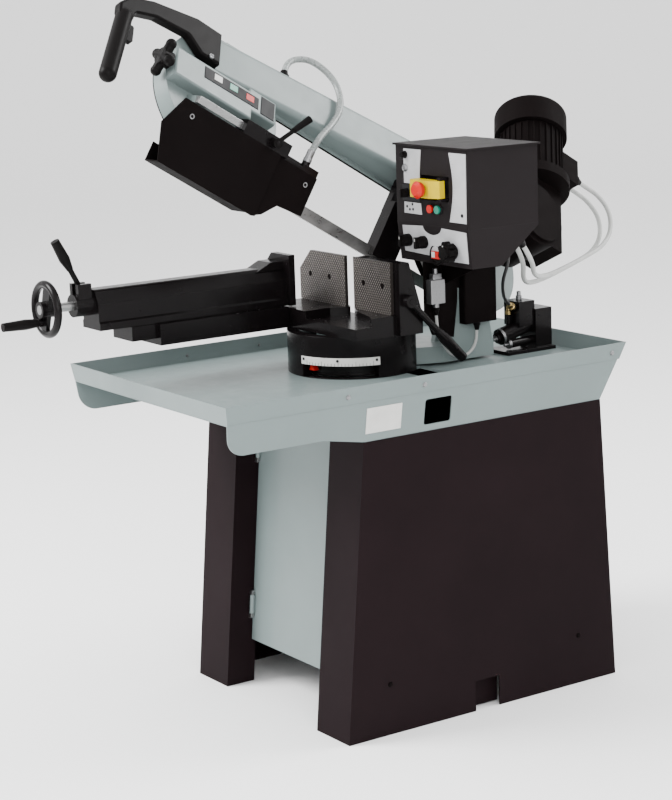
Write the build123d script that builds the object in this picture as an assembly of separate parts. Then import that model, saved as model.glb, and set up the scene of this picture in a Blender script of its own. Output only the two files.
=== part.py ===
from build123d import *
import math
import os

# A metal cutting band saw on a sheet-metal stand. Millimetres, +Z up, +X to the operator's right,
# -Y towards the operator. The origin is on the floor at the middle of the stand's four bolt holes.
# The saw arm is modelled raised, as it stands between two cuts.

# Stand
stand_width = 630.0
stand_depth = 762.0
stand_height = 663.0
sheet = 3.0
leg_flange = 126.0
leg_return = 74.0
front_taper = 62.0
rear_taper = 41.0
foot_notch_width = 68.0
foot_notch_height = 70.0
foot_tab_width = 78.0
foot_tab_depth = 95.0
foot_tab_thickness = 5.0
floor_bolt_spacing_x = 540.0
floor_bolt_spacing_y = 660.0
floor_bolt_radius = 6.5
back_panel_thickness = 2.0
panel_screw_y = 268.0
panel_screw_z = 115.0

# Cabinet door
door_set_back = 60.0
door_bottom = 104.0
door_top_gap = 20.0
door_side_gap = 5.0
door_edge = 14.0
hinge_pin_radius = 3.0
hinge_knuckle_radius = 6.0
hinge_knuckle_length = 44.0
hinge_heights = (190.0, 560.0)
hinge_inset = 9.0

# Base box and chip tray
base_box_inset = 1.0
base_box_corner = 42.0
base_box_front_step = 20.0
base_box_rear_lean = 42.0
base_box_height = 90.0
foot_flange = 24.0
skirt_window_y = 126.0
skirt_window_width = 72.0
skirt_window_height = 57.0
skirt_window_rise = 15.0
tray_width = 672.0
tray_front = 668.0
tray_front_lean = 6.0
tray_rear = 402.0
tray_rim = 38.0
tray_wall = 3.0
drain_x = 140.0
drain_y = -40.0
drain_width = 92.0
drain_depth = 74.0
case_screw_radius = 3.0
case_screw_head_radius = 6.0
case_screw_head_height = 3.0
tray_screw_height = 14.0
tray_screw_y = (-367.0, -168.0, 362.0)

# Table and mitre swivel
table_height = 139.0
table_thickness = 45.0
table_left = 190.0
table_right = 172.0
table_front = 232.0
table_rear = 100.0
mitre_y = -121.0
notch_floor = 19.0
slot_half = 7.0
drum_radius = 150.0
drum_wall = 25.0
drum_open_from = 55.0
drum_open_to = -98.0
window_height = 28.0
window_from = 6.0
window_to = 77.0
scale_thickness = 1.2
scale_glue = 0.3
scale_height = 18.0
swivel_disc_radius = 110.0
swivel_plate_gap = 6.0
swivel_plate_thickness = 38.0
swivel_pin_radius = 25.0
swivel_pin_length = 68.0
running_clearance = 0.05

# Fixed jaws
jaw_height = 116.0
jaw_thickness = 8.0
jaw_face_y = -130.0
jaw_gap = 25.0
left_jaw_length = 184.0
right_jaw_length = 150.0
jaw_chamfer = 45.0
jaw_end_bevel = (9.0, 6.0)
jaw_backing = 10.0
jaw_rib_depth = 62.0
jaw_rib_top = 27.0
jaw_rib_start = 20.0
jaw_rib_end = 185.0
jaw_bolt_height = 62.0
jaw_bolt_x = (-153.0, -76.0, 60.0, 132.0)
jaw_bolt_radius = 4.0
jaw_bolt_head_radius = 6.5
jaw_bolt_head_depth = 4.5

# Vise
vise_x = -150.0
bed_width = 110.0
bed_rise = 2.0
bed_height = 47.0
bed_length = 334.0
bed_nose_length = 64.0
bed_nose_height = 32.0
rail_height = 15.0
rail_width = 55.4
slide_clearance = 0.3
slide_width = 80.0
slide_height = 88.0
slide_wall = 12.0
slide_flange = 15.0
slide_step = 4.0
slide_shoulder = 30.0
slide_top_half = 20.0
slide_rounding = 8.0
slide_front_y = -705.0
jaw_block_rear_y = -207.0
jaw_block_length = 107.0
jaw_block_width = 100.0
jaw_block_height = 116.0
moving_jaw_thickness = 16.0
moving_jaw_chamfer = 26.0
gusset_half = 27.0
gusset_top = 15.0
screw_height = 56.0
screw_radius = 10.0
nut_length = 40.0
nut_y = -585.0
nut_height = 16.0
nut_half = 20.0
collar_radius = 25.0
collar_length = 44.0
handwheel_radius = 62.5
handwheel_rim = 8.5
handwheel_hub_radius = 18.0
handwheel_hub_length = 38.0
handwheel_gap = 41.0
crank_radius = 30.0
crank_angle = 18.0
crank_grip_radius = 11.5
crank_grip_length = 82.0
crank_spindle_radius = 5.0
vise_lever_length = 122.0
vise_lever_radius = 6.0
vise_lever_grip_radius = 12.0
vise_lever_hub_radius = 11.0
vise_lever_pin_radius = 4.0
vise_lever_lean = 27.0

# Mitre lock lever
lock_height = 32.0
lock_y = -103.0
lock_pin_radius = 6.0
lock_hub_radius = 14.0
lock_hub_length = 20.0
lock_lever_length = 204.0
lock_lever_radius = 8.0
lock_grip_radius = 13.0
lock_grip_length = 100.0

# Turret and arm pivot
pivot_y = 140.0
pivot_height = 94.0
pivot_pin_radius = 15.0
pivot_head_radius = 22.0
pivot_head_thickness = 7.0
cheek_thickness = 16.0
cheek_inner_x = 50.0
cheek_gap = 42.0
cheek_top_radius = 42.0
hub_side_clearance = 0.5
arm_hub_radius = 36.0

# Control box
box_left = 92.0
box_width = 256.0
box_front = -55.0
box_depth = 193.0
box_lift = 17.0
box_lower_height = 85.0
box_upper_height = 174.0
box_wall = 3.0
box_lower_set_back = 9.0
box_floor_depth = 82.0
lid_overhang = 5.0
lid_thickness = 4.0
bracket_thickness = 4.0
bracket_flange_width = 72.0
junction_depth = 22.0

# Controls on the front of the box, with their rise above the seam or the bottom
lid_x = 222.0
lid_rise = 82.0
lid_width = 96.0
lid_height = 38.0
lid_depth = 28.0
lid_pin_radius = 2.5
recess_x = 232.0
recess_width = 102.0
recess_height = 54.0
recess_depth = 14.0
mushroom_radius = 19.0
mushroom_x = 228.0
push_radius = 9.0
push_stem_radius = 5.0
push_travel = 4.0
red_x = 222.0
green_x = 248.0
push_rise = 37.0
selector_x = 131.0
selector_rise = 66.0
selector_radius = 10.0
left_dial_x = 131.0
mid_dial_x = 188.0
dial_rise = 46.0
dial_radius = 14.0
flow_x = 290.0
flow_rise = 34.0
flow_radius = 24.0
rocker_x = 226.0
rocker_rise = 21.0
rocker_width = 30.0
rocker_height = 20.0
rocker_pin_radius = 2.0
rocker_lug = 5.0
rocker_pivot_in = 4.0

# Limit switch and hydraulic unit
switch_y = 11.0
switch_drop = 59.0
switch_width = 40.0
switch_height = 54.0
switch_gland = 13.0
hydraulic_x = 100.0
hydraulic_front_y = 216.0
hose_socket_x = 262.0
hose_socket_inset = 14.0
hose_socket_length = 14.0

# Saw arm
raise_angle = 31.0
bow_tilt = 32.0
wheel_radius = 147.5
wheel_spacing = 776.0
front_wheel_s = 668.0
wheel_width = 28.0
wheel_rim = 14.0
wheel_web = 8.0
wheel_hub_radius = 32.0
blade_width = 27.0
blade_thickness = 0.9
blade_below_pivot = 85.0
blade_wheel_gap = 0.8
housing_gap = 10.5
housing_wall = 6.0
web_inner_b = 17.0
web_thickness = 6.0
rim_edge_b = -18.0
cover_sheet = 3.0
beam_bottom_a = 48.0
beam_top_a = 152.0
beam_front_s = 700.0
beam_front_b = 32.0
beam_rear_s = 60.0
beam_rear_b = 96.0
beam_end_s = -60.0
beam_fillet = 14.0
lug_thickness = 19.5
bridge_bottom_u = 98.0
bridge_height = 54.0

# Tension slide and knob
tension_travel = 8.0
tension_block_length = 84.0
tension_block_width = 50.0
tension_block_depth = 26.0
tension_screw_radius = 7.0
idler_axle_radius = 12.5
boss_wall = 12.0
boss_cover = 3.0
boss_rounding = 5.0
gauge_seat_s = 538.0
gauge_seat_a = (-14.0, 46.0)
boss_front_s = 822.0
knob_lobe_radius = 12.0
knob_hub_radius = 19.0
knob_reach = 32.0
knob_depth = 26.0

# Gearbox and motor
shaft_radius = 17.5
worm_wheel_radius = 46.0
worm_wheel_width = 30.0
worm_radius = 18.0
worm_clearance = 1.0
worm_length = 70.0
gear_b = 165.0
gearbox_radius = 84.0
gearbox_end_b = 250.0
gearbox_wall = 12.0
motor_flange_a = 150.0
motor_flange_thickness = 12.0
motor_flange_radius = 92.0
motor_radius = 78.0
motor_wall = 16.0
motor_length = 140.0
rotor_gap = 1.0
rotor_shaft_radius = 11.0
fan_cover_radius = 88.0
fan_cover_length = 75.0
fan_cover_wall = 2.5
fan_cover_crown = 16.0
fan_radius = 72.0
terminal_box_size = (62.0, 78.0, 72.0)

# Guides and guard
rear_guide_end_s = 195.0
rear_guide_length = 66.0
guide_half_width = 18.0
guide_slot = 1.6
guard_rear_s = 413.0
guard_step_s = 530.0
guard_front_s = 830.0
guard_top_u = -10.0
guard_bottom_u = -158.0
guard_rear_x = 19.0
guard_front_x = 34.0
guard_back_x = -22.0
guard_back_top_u = -114.0
guard_sheet = 3.0
guide_leg_length = 46.0
guide_travel = 60.0
guide_bar_size = 16.0
guide_bar_from = 518.0
guide_bar_to = 762.0
guide_bar_u = 6.0
guide_bar_x = 14.0
guide_bar_foot = 48.0
clamp_block_from = 514.0
clamp_block_to = 640.0
clamp_lever_length = 100.0
clamp_pin_radius = 5.0
hose_fitting_s = 446.0
hose_fitting_top_u = 16.0
hose_outlet_b = 31.0

# Handle
handle_b = 36.0
handle_width = 24.0
grip_radius = 19.0
handle_corner = 13.0
handle_rounding = 6.0
grip_top = (956.0, 42.0)
grip_bottom = (979.0, -126.0)
trigger_width = 12.0
trigger_height = 44.0
trigger_travel = 4.0
trigger_a = 4.0

# Cords
hose_radius = 7.5
cable_radius = 5.5
thin_cable_radius = 3.5
hydraulic_hose_radius = 4.0

half_width = stand_width / 2
box_top_z = stand_height + base_box_height
tray_floor = box_top_z + tray_wall
tray_rim_top = box_top_z + tray_rim
base_box_front_bottom = stand_height + base_box_front_step
tray_screw_z = tray_floor + tray_screw_height
table_top = tray_floor + table_height
table_bottom = table_top - table_thickness
swivel_plate_bottom = tray_floor + swivel_plate_gap
jaw_bolt_z = table_top + jaw_bolt_height
bed_top = table_top + bed_rise
slide_top = bed_top + slide_height
jaw_block_top = bed_top + jaw_block_height
screw_z = bed_top + screw_height
lock_z = table_top + lock_height
pivot_z = table_top + pivot_height
box_bottom = pivot_z + box_lift
box_seam = box_bottom + box_lower_height
box_top = box_seam + box_upper_height
lid_z = box_seam + lid_rise
push_z = box_seam + push_rise
selector_z = box_seam + selector_rise
dial_z = box_bottom + dial_rise
flow_z = box_bottom + flow_rise
rocker_z = box_bottom + rocker_rise
switch_z = pivot_z - switch_drop
cheek_outer_x = cheek_inner_x + 2 * cheek_thickness + cheek_gap
rear_wheel_s = front_wheel_s - wheel_spacing
housing_radius = wheel_radius + housing_gap
web_outer_b = web_inner_b + web_thickness
worm_s = rear_wheel_s - worm_wheel_radius - worm_radius - worm_clearance
box_right = box_left + box_width
box_rear = box_front + box_depth

pivot = Vector(0, pivot_y, pivot_z)
along = Vector(0, -math.cos(math.radians(raise_angle)), math.sin(math.radians(raise_angle)))
rise = Vector(0, math.sin(math.radians(raise_angle)), math.cos(math.radians(raise_angle)))
lean = math.radians(bow_tilt)
bow_up = rise * math.cos(lean) - Vector(1, 0, 0) * math.sin(lean)
bow_out = Vector(1, 0, 0) * math.cos(lean) + rise * math.sin(lean)
wheel_line = pivot - rise * blade_below_pivot + bow_up * wheel_radius

# In the cutting frame x runs forwards along the blade from the pivot, y is +X and z is up the blade's width.
cut_frame = Plane(origin=pivot, x_dir=along, z_dir=rise).location
# In the bow frame x is the same, y leaves the wheels towards the operator's right
# and z is away from the blade.
bow_frame = Plane(origin=wheel_line, x_dir=along, z_dir=bow_up).location


def block(x0, x1, y0, y1, z0, z1):
    centre = Pos((x0 + x1) / 2, (y0 + y1) / 2, (z0 + z1) / 2)
    return centre * Box(abs(x1 - x0), abs(y1 - y0), abs(z1 - z0))


def outline(points):
    return make_face(Polyline(*points, close=True))


def prism_x(points, x0, x1):
    return extrude(Plane.YZ.offset(x0) * outline(points), amount=x1 - x0)


def prism_y(points, y0, y1):
    base = Plane(origin=(0, y1, 0), x_dir=(1, 0, 0), z_dir=(0, -1, 0))
    return extrude(base * outline(points), amount=y1 - y0)


def prism_z(points, z0, z1):
    return extrude(Plane.XY.offset(z0) * outline(points), amount=z1 - z0)


def bar(start, end, radius, end_radius=None):
    start = Vector(*start)
    end = Vector(*end)
    run = end - start
    axis = Plane(origin=start, z_dir=run.normalized())
    top = radius if end_radius is None else end_radius
    if top == radius:
        solid = Cylinder(radius, run.length, align=(Align.CENTER, Align.CENTER, Align.MIN))
    else:
        solid = Cone(radius, top, run.length, align=(Align.CENTER, Align.CENTER, Align.MIN))
    return axis.location * solid


def sector(radius, from_angle, to_angle, z0, z1):
    # Angles run from the front of the table towards the operator's right, about the mitre axis.
    steps = 12
    points = [(0, mitre_y)]
    for step in range(steps + 1):
        angle = math.radians(from_angle + (to_angle - from_angle) * step / steps)
        points.append((radius * math.sin(angle), mitre_y - radius * math.cos(angle)))
    return prism_z(points, z0, z1)


def front_y(z):
    return -stand_depth / 2 + front_taper * z / stand_height


def rear_y(z):
    return stand_depth / 2 - rear_taper * z / stand_height


def leaning_strip(near, far, z0, z1):
    return [
        (front_y(z0) + near, z0),
        (front_y(z0) + far, z0),
        (front_y(z1) + far, z1),
        (front_y(z1) + near, z1),
    ]


# Stand panels, back panel and the floor bolt tabs
def side_panel():
    inner_x = half_width - leg_flange
    over = 5.0
    low = -over
    high = stand_height + over
    outer = prism_x(
        [
            (front_y(0), 0),
            (rear_y(0), 0),
            (rear_y(stand_height), stand_height),
            (front_y(stand_height), stand_height),
        ],
        inner_x,
        half_width,
    )
    hollow = prism_x(
        [
            (front_y(low) + sheet, low),
            (rear_y(low) - sheet, low),
            (rear_y(high) - sheet, high),
            (front_y(high) + sheet, high),
        ],
        inner_x - over,
        half_width - sheet,
    )
    panel = outer - hollow
    panel += prism_x(leaning_strip(sheet / 2, leg_return, 0, stand_height), inner_x, inner_x + sheet)
    for end in (-1, 1):
        reach = stand_depth / 2 - sheet / 2
        tab_inner = reach - foot_tab_depth
        panel += block(
            half_width - sheet / 2 - foot_tab_width,
            half_width - sheet / 2,
            end * tab_inner,
            end * reach,
            0,
            foot_tab_thickness,
        )
        panel -= bar(
            (floor_bolt_spacing_x / 2, end * floor_bolt_spacing_y / 2, -1),
            (floor_bolt_spacing_x / 2, end * floor_bolt_spacing_y / 2, foot_tab_thickness + 1),
            floor_bolt_radius,
        )
        panel -= bar(
            (half_width - 2 * sheet, end * panel_screw_y, panel_screw_z),
            (half_width + sheet, end * panel_screw_y, panel_screw_z),
            case_screw_radius,
        )
    panel -= block(
        half_width - 2 * sheet,
        half_width + sheet,
        -foot_notch_width / 2,
        foot_notch_width / 2,
        -1,
        foot_notch_height,
    )
    return panel


def back_panel():
    z0 = foot_tab_thickness + 3
    z1 = stand_height - 2
    points = [
        (rear_y(z0) - sheet - back_panel_thickness, z0),
        (rear_y(z0) - sheet, z0),
        (rear_y(z1) - sheet, z1),
        (rear_y(z1) - sheet - back_panel_thickness, z1),
    ]
    return prism_x(points, -half_width + sheet + 0.5, half_width - sheet - 0.5)


# Cabinet door on two lift-up hinges
door_half = half_width - leg_flange - door_side_gap
hinge_x = -(half_width - leg_flange) + hinge_inset
hinge_off = door_set_back - hinge_knuckle_radius + 1
hinge_axis = Vector(0, front_taper, stand_height).normalized()


def hinge_point(z):
    return Vector(hinge_x, front_y(z) + hinge_off, z)


def cabinet_door():
    top = stand_height - door_top_gap
    skin = leaning_strip(door_set_back, door_set_back + sheet, door_bottom, top)
    door = prism_x(skin, -door_half, door_half)
    for side in (-1, 1):
        edge = sorted((side * door_half, side * (door_half - sheet)))
        door += prism_x(leaning_strip(door_set_back, door_set_back + door_edge, door_bottom, top), *edge)
    for z in hinge_heights:
        start = hinge_point(z) - hinge_axis * hinge_knuckle_length / 2
        end = hinge_point(z) + hinge_axis * hinge_knuckle_length / 2
        door += bar(start, end, hinge_knuckle_radius)
        door -= bar(start - hinge_axis, end + hinge_axis, hinge_pin_radius + running_clearance)
    return door


def door_hinge_pins():
    pins = []
    tab = 10.0
    for z in hinge_heights:
        reach = hinge_axis * (hinge_knuckle_length / 2 + tab + 1)
        pin = bar(hinge_point(z) - reach, hinge_point(z) + reach, hinge_pin_radius)
        for end in (-1, 1):
            near = z + end * (hinge_knuckle_length / 2 + 1)
            low, high = sorted((near, near + end * tab))
            strip = leaning_strip(hinge_off - 4, hinge_off + 4, low, high)
            pin += prism_x(strip, -(half_width - leg_flange), hinge_x + hinge_pin_radius)
        pins.append(pin)
    return Compound(children=pins)


# Base box, chip tray and their screws
# The base and the tray on it widen upwards like a hopper
def hopper_half(z):
    lean = (tray_width / 2 - half_width) / (tray_rim_top - stand_height)
    return half_width + (z - stand_height) * lean


def hopper(z0, z1, inset):
    low = hopper_half(z0) - inset
    high = hopper_half(z1) - inset
    return prism_y([(-low, z0), (low, z0), (high, z1), (-high, z1)], -tray_front - 60, tray_rear + 60)


def base_box():
    top = box_top_z
    rear = rear_y(stand_height)
    front = -tray_front + tray_front_lean
    corner = (front + 6, base_box_front_bottom)
    points = [
        (front, top),
        corner,
        (front_y(stand_height) - 105, base_box_front_bottom),
        (front_y(stand_height) + 4, stand_height),
        (rear, stand_height),
        (rear + base_box_rear_lean, top),
    ]
    hollow = [
        (front - 40, top - sheet),
        (front - 40, stand_height - 40),
        (rear - sheet, stand_height - 40),
        (rear - sheet, stand_height),
        (rear + base_box_rear_lean - 2 * sheet, top - sheet),
    ]
    side = outline(points)
    side = fillet(side.vertices().sort_by_distance((*corner, 0))[0], base_box_corner)
    body = extrude(Plane.YZ.offset(-tray_width) * side, amount=2 * tray_width)
    body = body & hopper(stand_height, top, base_box_inset)
    room = prism_x(hollow, -tray_width, tray_width)
    box = body - (room & hopper(stand_height - 41, top, base_box_inset + sheet))
    outer = hopper_half(stand_height) - base_box_inset - 1
    for side in (-1, 1):
        edge = sorted((side * outer, side * (outer - foot_flange)))
        box += block(*edge, front_y(stand_height) + 8, rear - 8, stand_height, stand_height + sheet)
    window_from = stand_height + skirt_window_rise
    window = block(
        outer - 20,
        outer + 40,
        -skirt_window_y - skirt_window_width / 2,
        -skirt_window_y + skirt_window_width / 2,
        window_from,
        window_from + skirt_window_height,
    )
    box -= fillet(window.edges().filter_by(Axis.X), 6)
    return box - drain_cut()


def drain_cut():
    return block(
        drain_x - drain_width / 2,
        drain_x + drain_width / 2,
        drain_y - drain_depth / 2,
        drain_y + drain_depth / 2,
        box_top_z - 2 * sheet,
        tray_floor + 1,
    )


def chip_tray():
    rear_bottom = rear_y(stand_height) + base_box_rear_lean + 4
    points = [
        (-tray_front + tray_front_lean, box_top_z),
        (rear_bottom, box_top_z),
        (tray_rear, tray_rim_top),
        (-tray_front, tray_rim_top),
    ]
    hollow = [
        (-tray_front + tray_front_lean + tray_wall, tray_floor),
        (rear_bottom - tray_wall, tray_floor),
        (tray_rear - tray_wall + 1, tray_rim_top + 2),
        (-tray_front + tray_wall, tray_rim_top + 2),
    ]
    body = prism_x(points, -tray_width, tray_width) & hopper(box_top_z, tray_rim_top, 0)
    room = prism_x(hollow, -tray_width, tray_width) & hopper(tray_floor - 1, tray_rim_top + 3, tray_wall)
    tray = body - room
    for place, outward in tray_screw_places():
        tray -= bar(place - outward * 2 * sheet, place + outward * sheet, case_screw_radius)
    return tray - drain_cut()


def tray_screw_places():
    x = hopper_half(tray_screw_z)
    slope = hopper_half(1) - hopper_half(0)
    places = []
    for side in (-1, 1):
        outward = Vector(side, 0, -slope).normalized()
        places += [(Vector(side * x, y, tray_screw_z), outward) for y in tray_screw_y]
    return places


def case_screw(place, outward):
    head = bar(place, place + outward * case_screw_head_height, case_screw_head_radius, 4.0)
    return head + bar(place, place - outward * 2 * sheet, case_screw_radius)


def case_screws():
    places = tray_screw_places()
    for side in (-1, 1):
        for end in (-1, 1):
            place = Vector(side * half_width, end * panel_screw_y, panel_screw_z)
            places.append((place, Vector(side, 0, 0)))
    return Compound(children=[case_screw(*place) for place in places])


# Table casting with the drum that carries the swivel, the degree scale and the fixed jaws
jaw_back_y = jaw_face_y + jaw_thickness


def table_notch():
    # Room for the blade from straight across to the full mitre, open towards the front and the right.
    far_right = table_right + 18
    far_front = -table_front - 13
    points = [
        (-slot_half - 40, -table_rear + 1),
        (-slot_half, mitre_y),
        (-slot_half, mitre_y - 7),
        (-25, mitre_y - 44),
        (-25, far_front),
        (far_right, far_front),
        (far_right, mitre_y - 80),
        (143, mitre_y - 52.5),
        (60, mitre_y - 28),
        (slot_half, mitre_y + 1),
        (slot_half, -table_rear + 1),
    ]
    return prism_z(points, table_top - notch_floor, table_top + 1)


def upright(radius, height, z0):
    return Pos(0, mitre_y, z0) * Cylinder(radius, height, align=(Align.CENTER, Align.CENTER, Align.MIN))


def table_casting():
    jaw_top = table_top + jaw_height
    jaw_rear = jaw_back_y + jaw_backing
    rib_rear = jaw_back_y + jaw_rib_depth
    table = block(-table_left, table_right, -table_front, jaw_rear, table_bottom, table_top)
    table += block(-table_left, table_right, jaw_rear - 1, -table_rear, table_bottom, table_top - notch_floor)
    table += block(jaw_rib_start, jaw_rib_end, jaw_back_y, rib_rear, table_bottom, table_top)
    table -= table_notch()
    drum = upright(drum_radius, table_bottom - tray_floor, tray_floor)
    drum -= upright(drum_radius - drum_wall, table_bottom - tray_floor + 2, tray_floor - 1)
    reach = 2 * drum_radius
    drum -= sector(reach, 180 - drum_open_from, 180 - drum_open_to, tray_floor - 1, table_bottom + 1)
    drum -= sector(reach, window_from, window_to, tray_floor + 2, tray_floor + 2 + window_height)
    table += drum
    wall_right = -jaw_gap / 2 - 22
    table += block(-table_left + 3, wall_right, jaw_back_y, jaw_rear, table_top - 1, jaw_top - jaw_chamfer)
    rib = [
        (jaw_back_y, table_top - 1),
        (rib_rear, table_top - 1),
        (jaw_back_y + jaw_rib_top, jaw_top),
        (jaw_back_y, jaw_top),
    ]
    table += prism_x(rib, jaw_rib_start, jaw_rib_end)
    pin_end = jaw_rib_end + lock_hub_length + 1
    table += bar((jaw_rib_end - 1, lock_y, lock_z), (pin_end, lock_y, lock_z), lock_pin_radius)
    pin_top = swivel_plate_bottom + swivel_plate_thickness + swivel_pin_length
    table -= upright(swivel_pin_radius + running_clearance, pin_top - table_bottom + 2, table_bottom - 1)
    for x in jaw_bolt_x:
        bolt_end = (x, jaw_back_y + jaw_backing, jaw_bolt_z)
        table -= bar((x, jaw_back_y - 1, jaw_bolt_z), bolt_end, jaw_bolt_radius)
    return table


def degree_scale():
    z0 = tray_floor + 2 + window_height
    ring = upright(drum_radius + scale_glue + scale_thickness, scale_height, z0)
    ring -= upright(drum_radius + scale_glue, scale_height + 2, z0 - 1)
    return ring & sector(2 * drum_radius, window_from - 1, window_to + 1, z0 - 1, z0 + scale_height + 1)


def jaw_plate(points):
    plate = prism_y(points, jaw_face_y, jaw_back_y)
    low = min(point[0] for point in points)
    high = max(point[0] for point in points)
    for x in jaw_bolt_x:
        if low < x < high:
            plate -= bar((x, jaw_face_y - 1, jaw_bolt_z), (x, jaw_back_y + 1, jaw_bolt_z), jaw_bolt_radius)
            seat = jaw_face_y + jaw_bolt_head_depth + 0.5
            plate -= bar((x, jaw_face_y - 1, jaw_bolt_z), (x, seat, jaw_bolt_z), jaw_bolt_head_radius)
    return plate


def fixed_jaw_left():
    right = -jaw_gap / 2
    left = right - left_jaw_length
    top = table_top + jaw_height
    points = [
        (left, table_top),
        (right, table_top),
        (right, top),
        (left + jaw_chamfer, top),
        (left, top - jaw_chamfer),
    ]
    return jaw_plate(points)


def fixed_jaw_right():
    left = jaw_gap / 2
    right = left + right_jaw_length
    top = table_top + jaw_height
    plate = jaw_plate([(left, table_top), (right, table_top), (right, top), (left, top)])
    bevel_x, bevel_y = jaw_end_bevel
    corner = [
        (left - 1, jaw_face_y - 1),
        (left + bevel_x, jaw_face_y - 1),
        (left + bevel_x, jaw_face_y),
        (left, jaw_face_y + bevel_y),
        (left - 1, jaw_face_y + bevel_y),
    ]
    return plate - prism_z(corner, table_top - 1, top + 1)


def jaw_bolts():
    bolts = []
    for x in jaw_bolt_x:
        seat = jaw_face_y + jaw_bolt_head_depth + 0.5
        head = bar((x, seat - jaw_bolt_head_depth, jaw_bolt_z), (x, seat, jaw_bolt_z), jaw_bolt_head_radius)
        bolt_end = (x, jaw_back_y + jaw_backing, jaw_bolt_z)
        bolts.append(head + bar((x, seat, jaw_bolt_z), bolt_end, jaw_bolt_radius))
    return Compound(children=bolts)


# Vise: bed, slide with the moving jaw, screw, handwheel, crank grip and quick lever
bed_rear_y = -table_front
bed_front_y = bed_rear_y - bed_length
channel_half = rail_width / 2 + slide_clearance


def vise_bed():
    half = bed_width / 2
    rail_half = rail_width / 2
    bed = block(vise_x - half, vise_x + half, bed_front_y, bed_rear_y, bed_top - bed_height, bed_top)
    nose_front = bed_front_y - bed_nose_length
    nose_half = half - 12
    nose_bottom = bed_top - bed_nose_height
    bed += block(vise_x - nose_half, vise_x + nose_half, nose_front, bed_front_y + 1, nose_bottom, bed_top)
    rail_front = nut_y - 15
    rail_top = bed_top + rail_height
    bed += block(vise_x - rail_half, vise_x + rail_half, rail_front, bed_rear_y - 6, bed_top - 1, rail_top)
    nut_top = screw_z + nut_height
    bed += block(vise_x - nut_half, vise_x + nut_half, nut_y, nut_y + nut_length, bed_top, nut_top)
    bore = screw_radius + running_clearance
    return bed - bar((vise_x, nut_y - 1, screw_z), (vise_x, nut_y + nut_length + 1, screw_z), bore)


lever_y = slide_front_y - collar_length / 2
lever_z = screw_z + collar_radius + 10


def vise_slide():
    half = slide_width / 2
    low = bed_top + slide_clearance
    jaw_front = jaw_block_rear_y - jaw_block_length
    plate_front = jaw_block_rear_y - moving_jaw_thickness
    right = [
        (half, low),
        (half, low + slide_flange),
        (half - slide_step, low + slide_flange + slide_step),
        (half - slide_step, slide_top - slide_shoulder),
        (slide_top_half, slide_top),
    ]
    left = [(-x, z) for x, z in reversed(right)]
    section = [(vise_x + x, z) for x, z in right + left]
    slide = prism_y(section, slide_front_y, plate_front + 1)
    shoulder_z = slide_top - slide_shoulder
    upper = slide.edges().filter_by(Axis.Y).filter_by_position(Axis.Z, shoulder_z - 1, slide_top + 1)
    slide = fillet(upper, slide_rounding)
    gusset = [
        (jaw_front + 18, slide_top - 6),
        (plate_front + 1, slide_top - 6),
        (plate_front + 1, jaw_block_top - gusset_top),
        (plate_front - 34, jaw_block_top - gusset_top),
    ]
    slide += prism_x(gusset, vise_x - gusset_half, vise_x + gusset_half)
    jaw_half = jaw_block_width / 2
    jaw = [
        (vise_x - jaw_half, low),
        (vise_x + jaw_half, low),
        (vise_x + jaw_half, jaw_block_top),
        (vise_x - jaw_half + moving_jaw_chamfer, jaw_block_top),
        (vise_x - jaw_half, jaw_block_top - moving_jaw_chamfer),
    ]
    slide += prism_y(jaw, plate_front, jaw_block_rear_y)
    slide -= block(
        vise_x - nut_half - 0.5,
        vise_x + nut_half + 0.5,
        slide_front_y + slide_wall,
        jaw_front,
        low - 1,
        slide_top - slide_wall,
    )
    slide -= block(
        vise_x - channel_half,
        vise_x + channel_half,
        slide_front_y + slide_wall,
        jaw_block_rear_y + 1,
        low - 1,
        bed_top + rail_height + slide_clearance,
    )
    collar_end = (vise_x, slide_front_y - collar_length, screw_z)
    slide += bar((vise_x, slide_front_y + 1, screw_z), collar_end, collar_radius)
    ear = block(vise_x - 20, vise_x + 20, lever_y - 16, lever_y + 16, screw_z + 10, lever_z + 12)
    slide += ear
    slide -= block(
        vise_x - 8.5,
        vise_x + 8.5,
        lever_y - 17,
        lever_y + 17,
        lever_z - vise_lever_hub_radius - 1,
        lever_z + 20,
    )
    slide += bar((vise_x - 10, lever_y, lever_z), (vise_x + 10, lever_y, lever_z), vise_lever_pin_radius)
    bore = screw_radius + running_clearance
    front = slide_front_y - collar_length
    return slide - bar((vise_x, front - 1, screw_z), (vise_x, slide_front_y + slide_wall + 1, screw_z), bore)


wheel_rear_y = slide_front_y - collar_length - handwheel_gap
wheel_front_y = wheel_rear_y - handwheel_hub_length
screw_end_y = nut_y + 180.0
crank_x = vise_x - crank_radius * math.sin(math.radians(crank_angle))
crank_z = screw_z - crank_radius * math.cos(math.radians(crank_angle))


def vise_screw():
    return bar((vise_x, wheel_front_y, screw_z), (vise_x, screw_end_y, screw_z), screw_radius)


def vise_handwheel():
    rim_y = wheel_rear_y - handwheel_hub_length * 0.55
    rim_centre = handwheel_radius - handwheel_rim
    place = Pos(vise_x, rim_y, screw_z) * Rot(90, 0, 0)
    wheel = place * Torus(rim_centre, handwheel_rim)
    wheel += bar((vise_x, wheel_front_y, screw_z), (vise_x, wheel_rear_y, screw_z), handwheel_hub_radius)
    spoke = Pos(vise_x, rim_y, screw_z) * Rot(0, crank_angle, 0) * Box(30, 10, 2 * rim_centre)
    wheel += spoke
    spindle_end = wheel_front_y - crank_grip_length + 8
    wheel += bar((crank_x, rim_y - 4, crank_z), (crank_x, wheel_front_y - 1, crank_z), 9)
    wheel += bar((crank_x, wheel_front_y, crank_z), (crank_x, spindle_end, crank_z), crank_spindle_radius)
    wheel -= bar((vise_x, wheel_front_y - 1, screw_z), (vise_x, wheel_rear_y + 1, screw_z), screw_radius)
    return wheel


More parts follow.
